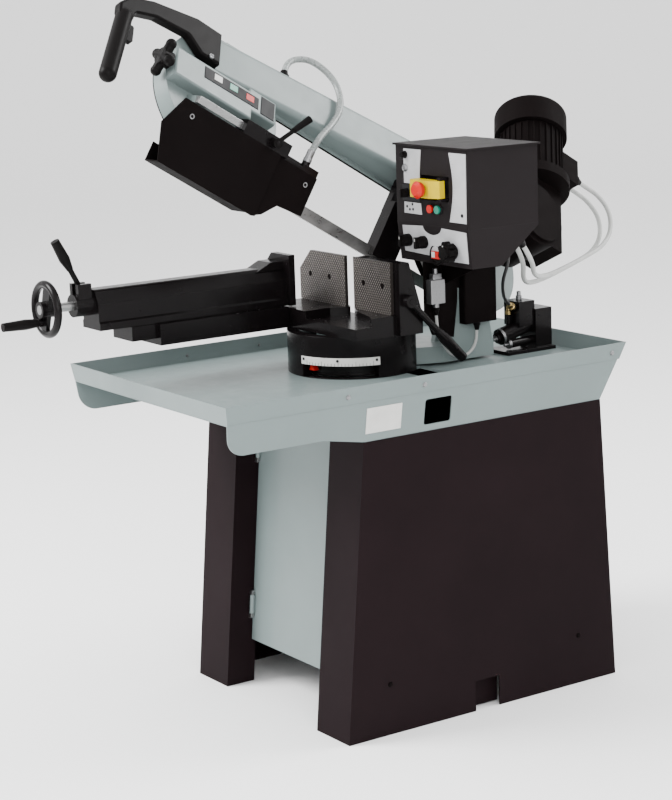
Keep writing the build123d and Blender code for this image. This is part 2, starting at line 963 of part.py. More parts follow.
def crank_grip():
    start = wheel_front_y - 1.5
    waist = start - crank_grip_length * 0.35
    end = start - crank_grip_length
    neck = crank_grip_radius - 2.5
    grip = bar((crank_x, start, crank_z), (crank_x, waist, crank_z), neck, crank_grip_radius)
    grip += bar((crank_x, waist, crank_z), (crank_x, end, crank_z), crank_grip_radius, neck + 0.5)
    bore_end = wheel_front_y - crank_grip_length + 7
    bore = crank_spindle_radius + running_clearance
    return grip - bar((crank_x, start + 1, crank_z), (crank_x, bore_end, crank_z), bore)


def vise_lever():
    lean_rad = math.radians(vise_lever_lean)
    direction = Vector(0, -math.sin(lean_rad), math.cos(lean_rad))
    root = Vector(vise_x, lever_y, lever_z)
    lever = bar((vise_x - 8, lever_y, lever_z), (vise_x + 8, lever_y, lever_z), vise_lever_hub_radius)
    lever += bar(root, root + direction * vise_lever_length * 0.5, vise_lever_radius)
    grip_start = root + direction * vise_lever_length * 0.4
    grip_mid = root + direction * vise_lever_length * 0.62
    grip_end = root + direction * vise_lever_length
    lever += bar(grip_start, grip_mid, vise_lever_radius + 1, vise_lever_grip_radius)
    lever += bar(grip_mid, grip_end, vise_lever_grip_radius, vise_lever_grip_radius - 2)
    bore = vise_lever_pin_radius + running_clearance
    return lever - bar((vise_x - 9, lever_y, lever_z), (vise_x + 9, lever_y, lever_z), bore)


# Lever that clamps the swivel
def lock_lever():
    near_x = jaw_rib_end + 0.3
    far_x = near_x + lock_hub_length
    mid = Vector((near_x + far_x) / 2, lock_y, lock_z)
    direction = Vector(0, 1, -1).normalized()
    lever = bar((near_x, lock_y, lock_z), (far_x, lock_y, lock_z), lock_hub_radius)
    grip_start = mid + direction * (lock_lever_length - lock_grip_length)
    lever += bar(mid, grip_start + direction * 5, lock_lever_radius)
    grip_mid = grip_start + direction * lock_grip_length * 0.3
    end = mid + direction * lock_lever_length
    lever += bar(grip_start, grip_mid, lock_lever_radius + 1, lock_grip_radius)
    lever += bar(grip_mid, end, lock_grip_radius, lock_grip_radius - 1.5)
    bore = lock_pin_radius + running_clearance
    return lever - bar((near_x - 1, lock_y, lock_z), (far_x + 1, lock_y, lock_z), bore)


# Turret that swings under the table and carries the arm pivot
def turret_casting():
    plate_top = swivel_plate_bottom + swivel_plate_thickness
    disc = upright(swivel_disc_radius, swivel_plate_thickness, swivel_plate_bottom)
    arm = [
        (-60, mitre_y),
        (60, mitre_y),
        (cheek_outer_x, pivot_y - 100),
        (cheek_outer_x, pivot_y + 45),
        (cheek_inner_x - 10, pivot_y + 45),
        (-60, pivot_y - 80),
    ]
    turret = disc + prism_z(arm, swivel_plate_bottom, plate_top)
    turret += upright(swivel_pin_radius, swivel_pin_length + 1, plate_top - 1)
    cheek = [
        (pivot_y - 80, plate_top - 1),
        (pivot_y + 42, plate_top - 1),
        (pivot_y + 32, pivot_z - 129),
        (pivot_y + cheek_top_radius, pivot_z),
        (pivot_y - cheek_top_radius, pivot_z),
        (pivot_y - 64, pivot_z - 129),
    ]
    for x in (cheek_inner_x, cheek_outer_x - cheek_thickness):
        turret += prism_x(cheek, x, x + cheek_thickness)
        turret += bar((x, pivot_y, pivot_z), (x + cheek_thickness, pivot_y, pivot_z), cheek_top_radius)
    bore_from = (cheek_inner_x - 1, pivot_y, pivot_z)
    bore_to = (cheek_outer_x + 1, pivot_y, pivot_z)
    return turret - bar(bore_from, bore_to, pivot_pin_radius)


def arm_pivot_pin():
    pin = bar((cheek_inner_x - 4, pivot_y, pivot_z), (cheek_outer_x, pivot_y, pivot_z), pivot_pin_radius)
    head_end = cheek_outer_x + pivot_head_thickness
    return pin + bar((cheek_outer_x, pivot_y, pivot_z), (head_end, pivot_y, pivot_z), pivot_head_radius)


# Control box in two shells on a bracket, with its controls
def front_at(z):
    if z >= box_seam:
        return box_front
    return box_front + box_lower_set_back * (box_seam - z) / (box_seam - box_bottom)


def front_hole(shape, x, z, radius):
    return shape - bar((x, box_front - 20, z), (x, box_front + 30, z), radius)


def box_underside(y):
    slope_start = front_at(box_bottom) + box_floor_depth
    return box_bottom + (box_seam - 5 - box_bottom) * (y - slope_start) / (box_rear - slope_start)


def box_below():
    return Vector(0, box_underside(1) - box_underside(0), -1).normalized()


def hose_socket(out):
    y = box_rear - hose_socket_inset
    return Vector(hose_socket_x, y, box_underside(y)) + Vector(-0.45, 0.35, -0.82).normalized() * out


def control_box_lower():
    slope_start = front_at(box_bottom) + box_floor_depth
    shell = [
        (front_at(box_bottom), box_bottom),
        (slope_start, box_bottom),
        (box_rear, box_seam - 5),
        (box_rear, box_seam),
        (box_front, box_seam),
    ]
    room = [
        (front_at(box_bottom + box_wall) + box_wall, box_bottom + box_wall),
        (slope_start - 1, box_bottom + box_wall),
        (box_rear - box_wall, box_seam - 3),
        (box_rear - box_wall, box_seam + 1),
        (box_front + box_wall, box_seam + 1),
    ]
    box = prism_x(shell, box_left, box_right)
    box -= prism_x(room, box_left + box_wall, box_right - box_wall)
    for x, z in ((left_dial_x, dial_z), (mid_dial_x, dial_z), (flow_x, flow_z)):
        box = front_hole(box, x, z, push_stem_radius + running_clearance)
    half_w = rocker_width / 2 + 0.5
    half_h = rocker_height / 2 + 0.5
    left = rocker_x - half_w
    right = rocker_x + half_w
    box -= block(left, right, box_front - 5, box_front + 30, rocker_z - half_h, rocker_z + half_h)
    face = front_at(rocker_z)
    box += block(left - rocker_lug, left, face + 1, face + 10, rocker_z - 7, rocker_z + 7)
    box += block(right, right + rocker_lug, face + 1, face + 10, rocker_z - 7, rocker_z + 7)
    axle_from = (left - rocker_lug - 1, face + rocker_pivot_in, rocker_z)
    axle_to = (right + rocker_lug + 1, face + rocker_pivot_in, rocker_z)
    box -= bar(axle_from, axle_to, rocker_pin_radius + running_clearance)
    return box + bar(hose_socket(-4), hose_socket(hose_socket_length), hydraulic_hose_radius + 3)


def control_box_upper():
    box = block(box_left, box_right, box_front, box_rear, box_seam, box_top)
    box += block(
        box_left - lid_overhang,
        box_right + lid_overhang,
        box_front - lid_overhang,
        box_rear + lid_overhang,
        box_top - lid_thickness,
        box_top,
    )
    box -= block(
        box_left + box_wall,
        box_right - box_wall,
        box_front + box_wall,
        box_rear - box_wall,
        box_seam - 1,
        box_top - lid_thickness,
    )
    recess = block(
        recess_x - recess_width / 2,
        recess_x + recess_width / 2,
        box_front - 1,
        box_front + recess_depth,
        lid_z - recess_height / 2,
        lid_z + recess_height / 2,
    )
    pocket = block(
        recess_x - recess_width / 2 - box_wall,
        recess_x + recess_width / 2 + box_wall,
        box_front + 1,
        box_front + recess_depth + box_wall,
        lid_z - recess_height / 2 - box_wall,
        lid_z + recess_height / 2 + box_wall,
    )
    box = box + pocket - recess
    box += lid_ears()
    for x in (red_x, green_x):
        box = front_hole(box, x, push_z, push_stem_radius + running_clearance)
    return front_hole(box, selector_x, selector_z, push_stem_radius + running_clearance)


# The stop cover hangs from a pin across its left edge
lid_hinge_x = lid_x + lid_width / 2 - 6
lid_hinge_y = box_front - 8


def lid_ears():
    ears = None
    for end in (-1, 1):
        centre = lid_z + end * (lid_height / 2 + 3.5)
        ear_back = box_front + recess_depth + 1
        ear = block(lid_hinge_x - 6, lid_hinge_x + 6, lid_hinge_y - 5, ear_back, centre - 3, centre + 3)
        ears = ear if ears is None else ears + ear
    pin_foot = (lid_hinge_x, lid_hinge_y, lid_z - lid_height / 2 - 4)
    pin_top = (lid_hinge_x, lid_hinge_y, lid_z + lid_height / 2 + 4)
    pin = bar(pin_foot, pin_top, lid_pin_radius)
    return ears + pin


def stop_lid():
    back = box_front - 1
    front = back - lid_depth
    left = lid_x - lid_width / 2
    right = lid_x + lid_width / 2
    points = [
        (left, front + 8),
        (left + 8, front),
        (right - 22, front),
        (right, back - 14),
        (right, back),
        (left, back),
    ]
    lid = prism_z(points, lid_z - lid_height / 2, lid_z + lid_height / 2)
    room = [
        (left + box_wall, front + 12),
        (left + 12, front + box_wall),
        (right - 34, front + box_wall),
        (right - 18, back - 8),
        (right - 18, back + 1),
        (left + box_wall, back + 1),
    ]
    lid -= prism_z(room, lid_z - lid_height / 2 + box_wall, lid_z + lid_height / 2 - box_wall)
    bore_foot = (lid_hinge_x, lid_hinge_y, lid_z - lid_height)
    bore_top = (lid_hinge_x, lid_hinge_y, lid_z + lid_height)
    lid -= bar(bore_foot, bore_top, lid_pin_radius + running_clearance)
    stem_bore = push_stem_radius + running_clearance
    return lid - bar((mushroom_x, front - 1, lid_z), (mushroom_x, front + 20, lid_z), stem_bore)


def stop_mushroom():
    face = box_front - 1 - lid_depth
    neck = bar((mushroom_x, face - 8, lid_z), (mushroom_x, face + 16, lid_z), push_stem_radius)
    rim = (mushroom_x, face - 16, lid_z)
    cap = bar((mushroom_x, face - push_travel - 2, lid_z), rim, mushroom_radius - 3, mushroom_radius)
    cap += bar(rim, (mushroom_x, face - 23, lid_z), mushroom_radius, mushroom_radius - 7)
    return neck + cap


def push_button(x):
    cap_back = box_front - push_travel - 0.5
    cap = bar((x, cap_back, push_z), (x, cap_back - 4.5, push_z), push_radius)
    return cap + bar((x, box_front - push_travel - 1, push_z), (x, box_front + 16, push_z), push_stem_radius)


def turn_knob(x, z, radius, depth, grip):
    face = front_at(z + radius) - 0.5
    knob = bar((x, face, z), (x, face - depth * 0.4, z), radius)
    knob += bar((x, face - depth * 0.4, z), (x, face - depth, z), radius * 0.9, radius * 0.75)
    if grip:
        rib = radius * 0.28
        reach = radius * 0.9
        knob += block(x - rib, x + rib, face - depth - 5, face - depth * 0.4, z - reach, z + reach)
    return knob + bar((x, face - 1, z), (x, box_front + 24, z), push_stem_radius)


def flow_knob():
    knob = turn_knob(flow_x, flow_z, flow_radius * 0.72, 30, False)
    face = front_at(flow_z + flow_radius) - 8
    for lobe in range(7):
        angle = 2 * math.pi * lobe / 7
        x = flow_x + flow_radius * 0.72 * math.cos(angle)
        z = flow_z + flow_radius * 0.72 * math.sin(angle)
        knob += bar((x, face, z), (x, face - 16, z), flow_radius * 0.28)
    return knob


def rocker_switch():
    face = front_at(rocker_z)
    half_w = rocker_width / 2 - 0.5
    half_h = rocker_height / 2 - 0.5
    pivot_at = face + rocker_pivot_in
    body = bar((rocker_x - half_w, pivot_at, rocker_z), (rocker_x + half_w, pivot_at, rocker_z), half_h - 2)
    pin_reach = rocker_width / 2 + 0.5 + rocker_lug
    pin_from = (rocker_x - pin_reach, pivot_at, rocker_z)
    body += bar(pin_from, (rocker_x + pin_reach, pivot_at, rocker_z), rocker_pin_radius)
    wings = prism_x(
        [
            (pivot_at, rocker_z - 3),
            (face - 5, rocker_z - half_h + 1),
            (face - 2, rocker_z),
            (face - 5, rocker_z + half_h - 1),
            (pivot_at, rocker_z + 3),
        ],
        rocker_x - half_w,
        rocker_x + half_w,
    )
    return body + wings


def box_bracket():
    x0 = cheek_outer_x
    x1 = x0 + bracket_thickness
    top = box_bottom
    points = [
        (pivot_y - 132, pivot_z - 159),
        (pivot_y - 72, pivot_z - 171),
        (pivot_y - 60, pivot_z - 89),
        (pivot_y - 56, top),
        (pivot_y - 152, top),
        (pivot_y - 152, pivot_z - 109),
    ]
    bracket = prism_x(points, x0, x1)
    flange_end = box_right - 18
    flange_back = -28 + bracket_flange_width
    bracket += block(x0, flange_end, -28, flange_back, top - bracket_thickness, top)
    gusset = [(x1 - 1, top - 1), (flange_end - 40, top - 1), (x1 - 1, pivot_z - 49)]
    bracket += prism_y(gusset, flange_back - 6, flange_back - 6 + bracket_thickness)
    # Black junction housing on the turret's side, its upper half bridging the pivot pin's head
    y0 = pivot_y - 52
    y1 = pivot_y + 40
    housing = block(x0, x0 + junction_depth, y0, y1, pivot_z - 143, pivot_z - 30)
    housing += block(x0 + 10, x0 + junction_depth, y0, y1, pivot_z - 32, pivot_z + 12)
    housing = fillet(housing.edges().filter_by(Axis.Z).group_by(Axis.X)[-1], 4)
    return bracket + housing + block(x0, x1, y0 - 12, y0 + 4, pivot_z - 60, pivot_z - 32)


def limit_switch():
    x0 = cheek_outer_x + bracket_thickness
    half_w = switch_width / 2
    half_h = switch_height / 2
    body = block(x0, x0 + 22, switch_y - half_w, switch_y + half_w, switch_z - half_h, switch_z + half_h)
    body = fillet(body.edges().filter_by(Axis.Z), 3)
    top = switch_z + half_h
    low = switch_z - half_h
    head = block(x0 + 3, x0 + 19, switch_y - 12, switch_y + 12, top - 1, top + 13)
    plunger = bar((x0 + 11, switch_y, top + 12), (x0 + 11, switch_y, top + 25), 6)
    gland = bar((x0 + 11, switch_y, low + 1), (x0 + 11, switch_y, low - switch_gland), thin_cable_radius + 4)
    return body + head + plunger + gland


# Hydraulic unit that raises the arm, standing in the tray
def hydraulic_unit():
    x = hydraulic_x
    y = hydraulic_front_y
    z = tray_floor
    unit = block(x - 40, x + 40, y, y + 142, z, z + 8)
    unit += block(x - 30, x + 28, y + 92, y + 140, z + 7, z + 98)
    unit += block(x - 34, x + 22, y + 48, y + 94, z + 60, z + 118)
    unit += bar((x, y + 4, z + 38), (x, y + 110, z + 66), 19)
    unit += bar((x, y + 4, z + 38), (x, y - 4, z + 36), 12)
    unit += bar((x + 8, y + 24, z + 20), (x + 8, y + 96, z + 24), 10)
    unit += bar((x - 8, y + 40, z + 48), (x - 8, y + 40, z + 88), 6)
    return unit + bar(hydraulic_fitting(-18), hydraulic_fitting(0), hydraulic_hose_radius + 3)


def hydraulic_fitting(out):
    seat = Vector(hydraulic_x + 10, hydraulic_front_y + 38, tray_floor + 106)
    return seat + Vector(0.52, -0.76, 0.39).normalized() * out


# Saw arm: the bow casting with its two wheel housings, beam and pivot lug
def wheel_disc(s, radius, b0, b1):
    return bar((s, b0, 0), (s, b1, 0), radius)


def bow_point(s, b, a):
    return wheel_line + along * s + bow_out * b + bow_up * a


def cut_point(s, x, u):
    return pivot + along * s + Vector(1, 0, 0) * x + rise * u


def web_x(u):
    # Where the middle of the wheel web stands sideways at height u of the cutting frame.
    middle = web_inner_b + web_thickness / 2
    return (middle - (u + blade_below_pivot) * math.sin(lean)) / math.cos(lean)


def wheel_housing(s, facing):
    housing = wheel_disc(s, housing_radius, rim_edge_b, web_outer_b)
    housing -= wheel_disc(s, housing_radius - housing_wall, rim_edge_b - 1, web_inner_b)
    low, high = sorted((s - facing * 2 * housing_radius, s - facing * 10))
    return housing - block(low, high, rim_edge_b - 1, web_inner_b, -2 * housing_radius, 2 * housing_radius)


def beam():
    points = [
        (beam_front_s, web_inner_b),
        (beam_front_s, beam_front_b),
        (beam_rear_s, beam_rear_b),
        (beam_end_s, beam_rear_b),
        (beam_end_s, web_inner_b),
    ]
    solid = prism_z(points, beam_bottom_a, beam_top_a)
    slope = (beam_front_s - beam_rear_s) / 2
    outer = [edge for edge in solid.edges() if edge.length > slope and edge.center().Y > beam_front_b + 1]
    return fillet(outer, beam_fillet)


def bow_casting():
    bow = beam()
    bow += block(rear_wheel_s, front_wheel_s, web_inner_b, web_outer_b, beam_bottom_a - 8, beam_top_a + 8)
    bow += wheel_housing(front_wheel_s, 1)
    bow += wheel_housing(rear_wheel_s, -1)
    bow += tension_boss()
    bow -= tension_room()
    bow -= wheel_disc(rear_wheel_s, shaft_radius + 6, web_inner_b - 1, web_outer_b + 1)
    casting = bow_frame * bow
    casting += cut_frame * pivot_lug()
    casting += cut_frame * bar_foot()
    return casting


def pivot_lug():
    inner = cheek_inner_x + cheek_thickness + hub_side_clearance
    outer = cheek_outer_x - cheek_thickness - hub_side_clearance
    web = [(-34, 0), (34, 0), (44, bridge_bottom_u + 10), (-20, bridge_bottom_u + 10)]
    lug = bar((0, inner, 0), (0, outer, 0), arm_hub_radius)
    lug += prism_y(web, inner, inner + lug_thickness)
    lug += block(-20, 44, -60, inner + lug_thickness, bridge_bottom_u, bridge_bottom_u + bridge_height)
    return lug - bar((0, inner - 1, 0), (0, outer + 1, 0), pivot_pin_radius + running_clearance)


def bar_foot():
    low = guide_bar_u - guide_bar_size / 2
    high = guide_bar_u + guide_bar_size / 2
    face = guide_bar_x - guide_bar_size / 2
    return prism_x(
        [(face, low), (face, high), (web_x(high), high), (web_x(low), low)],
        guide_bar_to - guide_bar_foot,
        guide_bar_to,
    )


# Tension slide that carries the idler wheel, and the star knob that pulls it
tension_b = web_outer_b + tension_block_depth / 2 + 0.5
slide_front_s = front_wheel_s + tension_block_length / 2


def tension_boss():
    half = tension_block_width / 2 + boss_wall
    start = front_wheel_s - tension_block_length / 2 - tension_travel - boss_wall
    top = web_outer_b + tension_block_depth + 2 * slide_clearance + boss_cover
    boss = block(start, boss_front_s, web_inner_b + 1, top, -half, half)
    boss = fillet(boss.edges().group_by(Axis.Y)[-1], boss_rounding)
    low, high = gauge_seat_a
    seat = block(gauge_seat_s, start + boss_wall, web_inner_b + 1, top, low, high)
    return boss + fillet(seat.edges().group_by(Axis.Y)[-1], boss_rounding)


def tension_room():
    half = tension_block_width / 2 + slide_clearance
    start = front_wheel_s - tension_block_length / 2 - tension_travel - 1
    depth = web_outer_b + tension_block_depth + 2 * slide_clearance
    slot = idler_axle_radius + 2
    room = block(start, slide_front_s + 1, web_outer_b, depth, -half, half)
    slot_from = front_wheel_s - tension_travel
    room += block(slot_from, front_wheel_s, web_inner_b - 1, web_outer_b + 1, -slot, slot)
    for s in (front_wheel_s, front_wheel_s - tension_travel):
        room += wheel_disc(s, slot, web_inner_b - 1, web_outer_b + 1)
    screw = tension_screw_radius + running_clearance
    return room + bar((slide_front_s, tension_b, 0), (boss_front_s + 1, tension_b, 0), screw)


def tension_slide():
    half = tension_block_width / 2
    b0 = web_outer_b + slide_clearance
    start = front_wheel_s - tension_block_length / 2
    slide = block(start, slide_front_s, b0, b0 + tension_block_depth, -half, half)
    slide += wheel_disc(front_wheel_s, idler_axle_radius, -wheel_width / 2 - 2, b0 + 1)
    screw = tension_screw_radius + running_clearance
    slide -= bar((slide_front_s - 40, tension_b, 0), (slide_front_s + 1, tension_b, 0), screw)
    return bow_frame * slide


def tension_knob():
    start = boss_front_s + 6
    hub_end = start + knob_depth
    knob = bar((slide_front_s - 28, tension_b, 0), (start + 2, tension_b, 0), tension_screw_radius)
    knob += bar((start, tension_b, 0), (hub_end, tension_b, 0), knob_hub_radius)
    middle = start + knob_depth * 0.62
    for lobe in range(4):
        angle = math.pi / 4 + math.pi / 2 * lobe
        tip = (middle, tension_b + knob_reach * math.cos(angle), knob_reach * math.sin(angle))
        knob += bar((middle, tension_b, 0), tip, knob_lobe_radius, knob_lobe_radius - 1)
        knob += Pos(*tip) * Sphere(knob_lobe_radius)
    return bow_frame * knob


# Saw wheels on their shafts
def saw_wheel(s, bore):
    outer = wheel_radius - blade_wheel_gap
    half = wheel_width / 2
    wheel = wheel_disc(s, outer, -half, half)
    wheel -= wheel_disc(s, outer - wheel_rim, -half - 1, -wheel_web / 2)
    wheel -= wheel_disc(s, outer - wheel_rim, wheel_web / 2, half + 1)
    wheel += wheel_disc(s, wheel_hub_radius, -half, half)
    reach = (outer - wheel_rim + wheel_hub_radius) / 2
    for hole in range(5):
        angle = 2 * math.pi * hole / 5
        x = s + reach * math.cos(angle)
        z = reach * math.sin(angle)
        wheel -= bar((x, -half - 1, z), (x, half + 1, z), 24)
    return bow_frame * (wheel - wheel_disc(s, bore, -half - 1, half + 1))


def drive_shaft():
    shaft = wheel_disc(rear_wheel_s, shaft_radius, -wheel_width / 2, gearbox_end_b - gearbox_wall - 2)
    half = worm_wheel_width / 2
    shaft += wheel_disc(rear_wheel_s, worm_wheel_radius, gear_b - half, gear_b + half)
    return bow_frame * shaft


def rear_cover():
    # A thin black cover over both wheels and the upper run of the blade; the throat stays open.
    b0 = rim_edge_b - cover_sheet
    top = beam_top_a + 8
    cover = wheel_disc(front_wheel_s, housing_radius, b0, rim_edge_b)
    cover += wheel_disc(rear_wheel_s, housing_radius, b0, rim_edge_b)
    cover += block(rear_wheel_s, front_wheel_s, b0, rim_edge_b, beam_bottom_a + 26, top + cover_sheet)
    inset = housing_radius * 0.3
    cover += block(rear_wheel_s + inset, front_wheel_s - inset, b0, web_inner_b + 3, top, top + cover_sheet)
    return bow_frame * cover


# Gearbox with the worm drive, and the motor standing on it
def gearbox_housing():
    b0 = web_outer_b
    b1 = gearbox_end_b
    box = wheel_disc(rear_wheel_s, gearbox_radius, gear_b - 48, b1 - 8)
    box += wheel_disc(rear_wheel_s, gearbox_radius - 10, gear_b - 48, b1)
    box += wheel_disc(rear_wheel_s, shaft_radius + 28, b0, gear_b - 40)
    box += block(worm_s - 52, worm_s + 60, gear_b - 48, gear_b + 48, -40, motor_flange_a - 1)
    box += bar((worm_s, gear_b, motor_flange_a - 14), (worm_s, gear_b, motor_flange_a), motor_flange_radius)
    half = worm_wheel_width / 2 + 4
    box -= wheel_disc(rear_wheel_s, worm_wheel_radius + 5, gear_b - half, gear_b + half)
    box -= wheel_disc(rear_wheel_s, shaft_radius + running_clearance, b0 - 1, b1 - gearbox_wall)
    box -= bar((worm_s, gear_b, -worm_length / 2 - 4), (worm_s, gear_b, motor_flange_a + 1), worm_radius + 4)
    housing = bow_frame * box
    return housing


motor_top_a = motor_flange_a + motor_flange_thickness + motor_length
terminal_s = worm_s - motor_radius - terminal_box_size[0] + 12
terminal_a = motor_flange_a + 56
gland_length = 16.0
gland_a = terminal_a + terminal_box_size[2] * 0.5
gland_b = (gear_b + 16, gear_b - 16)


def motor_body():
    a0 = motor_flange_a
    body = bar((worm_s, gear_b, a0), (worm_s, gear_b, a0 + motor_flange_thickness), motor_flange_radius)
    body += bar((worm_s, gear_b, a0 + 1), (worm_s, gear_b, motor_top_a), motor_radius - 4)
    fins = 30
    for fin in range(fins):
        place = Pos(worm_s, gear_b, 0) * Rot(0, 0, 360 * fin / fins)
        fin_from = a0 + motor_flange_thickness
        body += place * block(motor_radius - 8, motor_radius, -1.5, 1.5, fin_from, motor_top_a - 12)
    size_s, size_b, size_a = terminal_box_size
    b0 = gear_b - size_b / 2
    body += block(terminal_s, terminal_s + size_s, b0, b0 + size_b, terminal_a, terminal_a + size_a)
    for b in gland_b:
        body += bar((terminal_s + 1, b, gland_a), (terminal_s - gland_length, b, gland_a), cable_radius + 3.5)
    body -= bar((worm_s, gear_b, a0 - 1), (worm_s, gear_b, a0 + 22), worm_radius + 4)
    body -= bar((worm_s, gear_b, a0 + 21), (worm_s, gear_b, motor_top_a - 14), motor_radius - motor_wall)
    bearing = rotor_shaft_radius + running_clearance
    body -= bar((worm_s, gear_b, motor_top_a - 15), (worm_s, gear_b, motor_top_a + 1), bearing)
    return bow_frame * body


def fan_cover():
    a0 = motor_top_a - 8
    a1 = a0 + fan_cover_length
    inner = fan_cover_radius - fan_cover_wall
    shell = bar((worm_s, gear_b, a0), (worm_s, gear_b, a1), fan_cover_radius)
    shell = fillet(shell.edges().sort_by(Axis.Z)[-1], fan_cover_crown)
    shell -= bar((worm_s, gear_b, a0 + 4), (worm_s, gear_b, a1 - fan_cover_crown + 2), inner)
    shell -= bar((worm_s, gear_b, a0 + 4), (worm_s, gear_b, a1 - fan_cover_wall), inner - fan_cover_crown + 2)
    shell -= bar((worm_s, gear_b, a0 - 1), (worm_s, gear_b, a0 + 5), motor_radius - 4)
    for ring in range(2):
        count = 10 + 8 * ring
        reach = 34 + 22 * ring
        for hole in range(count):
            angle = 2 * math.pi * hole / count
            x = worm_s + reach * math.cos(angle)
            y = gear_b + reach * math.sin(angle)
            shell -= bar((x, y, a1 - 10), (x, y, a1 + 1), 5)
    return bow_frame * shell


def motor_rotor():
    a0 = motor_flange_a
    low = -worm_length / 2
    shaft_top = motor_top_a + fan_cover_length - 28
    rotor = bar((worm_s, gear_b, low), (worm_s, gear_b, shaft_top), rotor_shaft_radius)
    rotor += bar((worm_s, gear_b, low), (worm_s, gear_b, -low), worm_radius)
    core = motor_radius - motor_wall - rotor_gap
    rotor += bar((worm_s, gear_b, a0 + 40), (worm_s, gear_b, motor_top_a - 30), core)
    rotor += bar((worm_s, gear_b, shaft_top - 6), (worm_s, gear_b, shaft_top), fan_radius)
    for vane in range(8):
        place = Pos(worm_s, gear_b, 0) * Rot(0, 0, 45 * vane)
        rotor += place * block(20, fan_radius, -1.5, 1.5, shaft_top - 26, shaft_top - 5)
    return bow_frame * rotor


# Blade: an endless band, twisted upright where it runs through the guides
def blade_section(s, turn):
    across = (0, math.cos(turn), math.sin(turn))
    plane = Plane(origin=(s, 0, -blade_below_pivot), x_dir=across, z_dir=(1, 0, 0))
    return plane * Rectangle(blade_width, blade_thickness)


def saw_blade():
    half = blade_width / 2
    upright_turn = math.pi / 2
    cut_from = rear_guide_end_s - rear_guide_length
    cut_to = guard_rear_s + guide_leg_length + guide_travel + 8
    run = extrude(blade_section(cut_from, upright_turn), amount=cut_to - cut_from)
    steps = 6
    twists = (
        (cut_from, rear_wheel_s + 40, rear_wheel_s),
        (cut_to, front_wheel_s - 40, front_wheel_s),
    )
    for start, end, wheel_s in twists:
        sections = []
        for step in range(steps + 1):
            share = step / steps
            turn = upright_turn + (lean - upright_turn) * share
            sections.append(blade_section(start + (end - start) * share, turn))
        run += loft(sections, ruled=True)
        run += extrude(blade_section(end, lean), amount=wheel_s - end)
    outer = wheel_radius + blade_thickness / 2
    inner = wheel_radius - blade_thickness / 2
    band = block(rear_wheel_s, front_wheel_s, -half, half, inner, outer)
    for s, facing in ((front_wheel_s, 1), (rear_wheel_s, -1)):
        arc = wheel_disc(s, outer, -half, half) - wheel_disc(s, inner, -half - 1, half + 1)
        low, high = sorted((s, s - facing * 2 * outer))
        band += arc - block(low, high, -half - 1, half + 1, -2 * outer, 2 * outer)
    return cut_frame * run + bow_frame * band


# Rear guide, and the front guide that slides along its bar with the guard
guide_low_u = -blade_below_pivot - blade_width / 2 + 7
blade_top_u = -blade_below_pivot + blade_width / 2


def beam_bottom_u(x):
    b = (x + (beam_bottom_a + wheel_radius) * math.sin(lean)) / math.cos(lean)
    return -blade_below_pivot + (beam_bottom_a + wheel_radius) * math.cos(lean) + b * math.sin(lean)


def rear_guide():
    end = rear_guide_end_s
    start = end - rear_guide_length
    arm_low = 26.0
    arm_high = 42.0
    guide = block(start, end, -guide_half_width, guide_half_width, guide_low_u, arm_high)
    guide += block(start, start + 34, -66, guide_half_width, arm_low, arm_high)
    post = [(-66, arm_low), (-46, arm_low), (-46, beam_bottom_u(-46)), (-66, beam_bottom_u(-66))]
    guide += prism_x(post, start, start + 34)
    slot = guide_slot / 2
    return cut_frame * (guide - block(start - 1, end + 1, -slot, slot, guide_low_u - 1, blade_top_u + 1))


def blade_guard():
    rear = [
        (guard_rear_s, guard_top_u),
        (guard_rear_s, -blade_below_pivot - blade_width / 2 - 2),
        (guard_rear_s + 67, -blade_below_pivot - blade_width / 2 - 9),
        (guard_step_s - 22, guard_bottom_u + 16),
        (guard_step_s + guard_sheet, guard_bottom_u + 2),
        (guard_step_s + guard_sheet, guard_top_u),
    ]
    front = [
        (guard_step_s, guard_top_u),
        (guard_step_s, guard_bottom_u + 3),
        (guard_step_s + 8, guard_bottom_u),
        (guard_front_s - 30, guard_bottom_u),
        (guard_front_s, -80),
        (guard_front_s - 30, guard_top_u),
    ]
    outer_x = guard_front_x + guard_sheet
    guard = prism_y(rear, guard_rear_x, guard_rear_x + guard_sheet)
    guard += prism_y(front, guard_front_x, outer_x)
    step_end = guard_step_s + guard_sheet
    guard += block(guard_step_s, step_end, guard_rear_x, outer_x, guard_bottom_u + 5, guard_top_u)
    floor_from = guard_step_s + 24
    floor_to = guard_front_s - 32
    floor_top = guard_bottom_u + guard_sheet
    back_in = guard_back_x + guard_sheet
    guard += block(floor_from, floor_to, guard_back_x, outer_x - 1, guard_bottom_u, floor_top)
    guard += block(floor_from, floor_to, guard_back_x, back_in, guard_bottom_u, guard_back_top_u)
    flange_from = guard_rear_s + guide_leg_length + 12
    guard += block(flange_from, guard_step_s, 0, guard_rear_x + 1, guard_top_u - guard_sheet, guard_top_u)
    return cut_frame * guard


clamp_near_x = guide_bar_x + guide_bar_size / 2 + slide_clearance + 14
clamp_pivot = (clamp_block_from + 45, guide_bar_u)


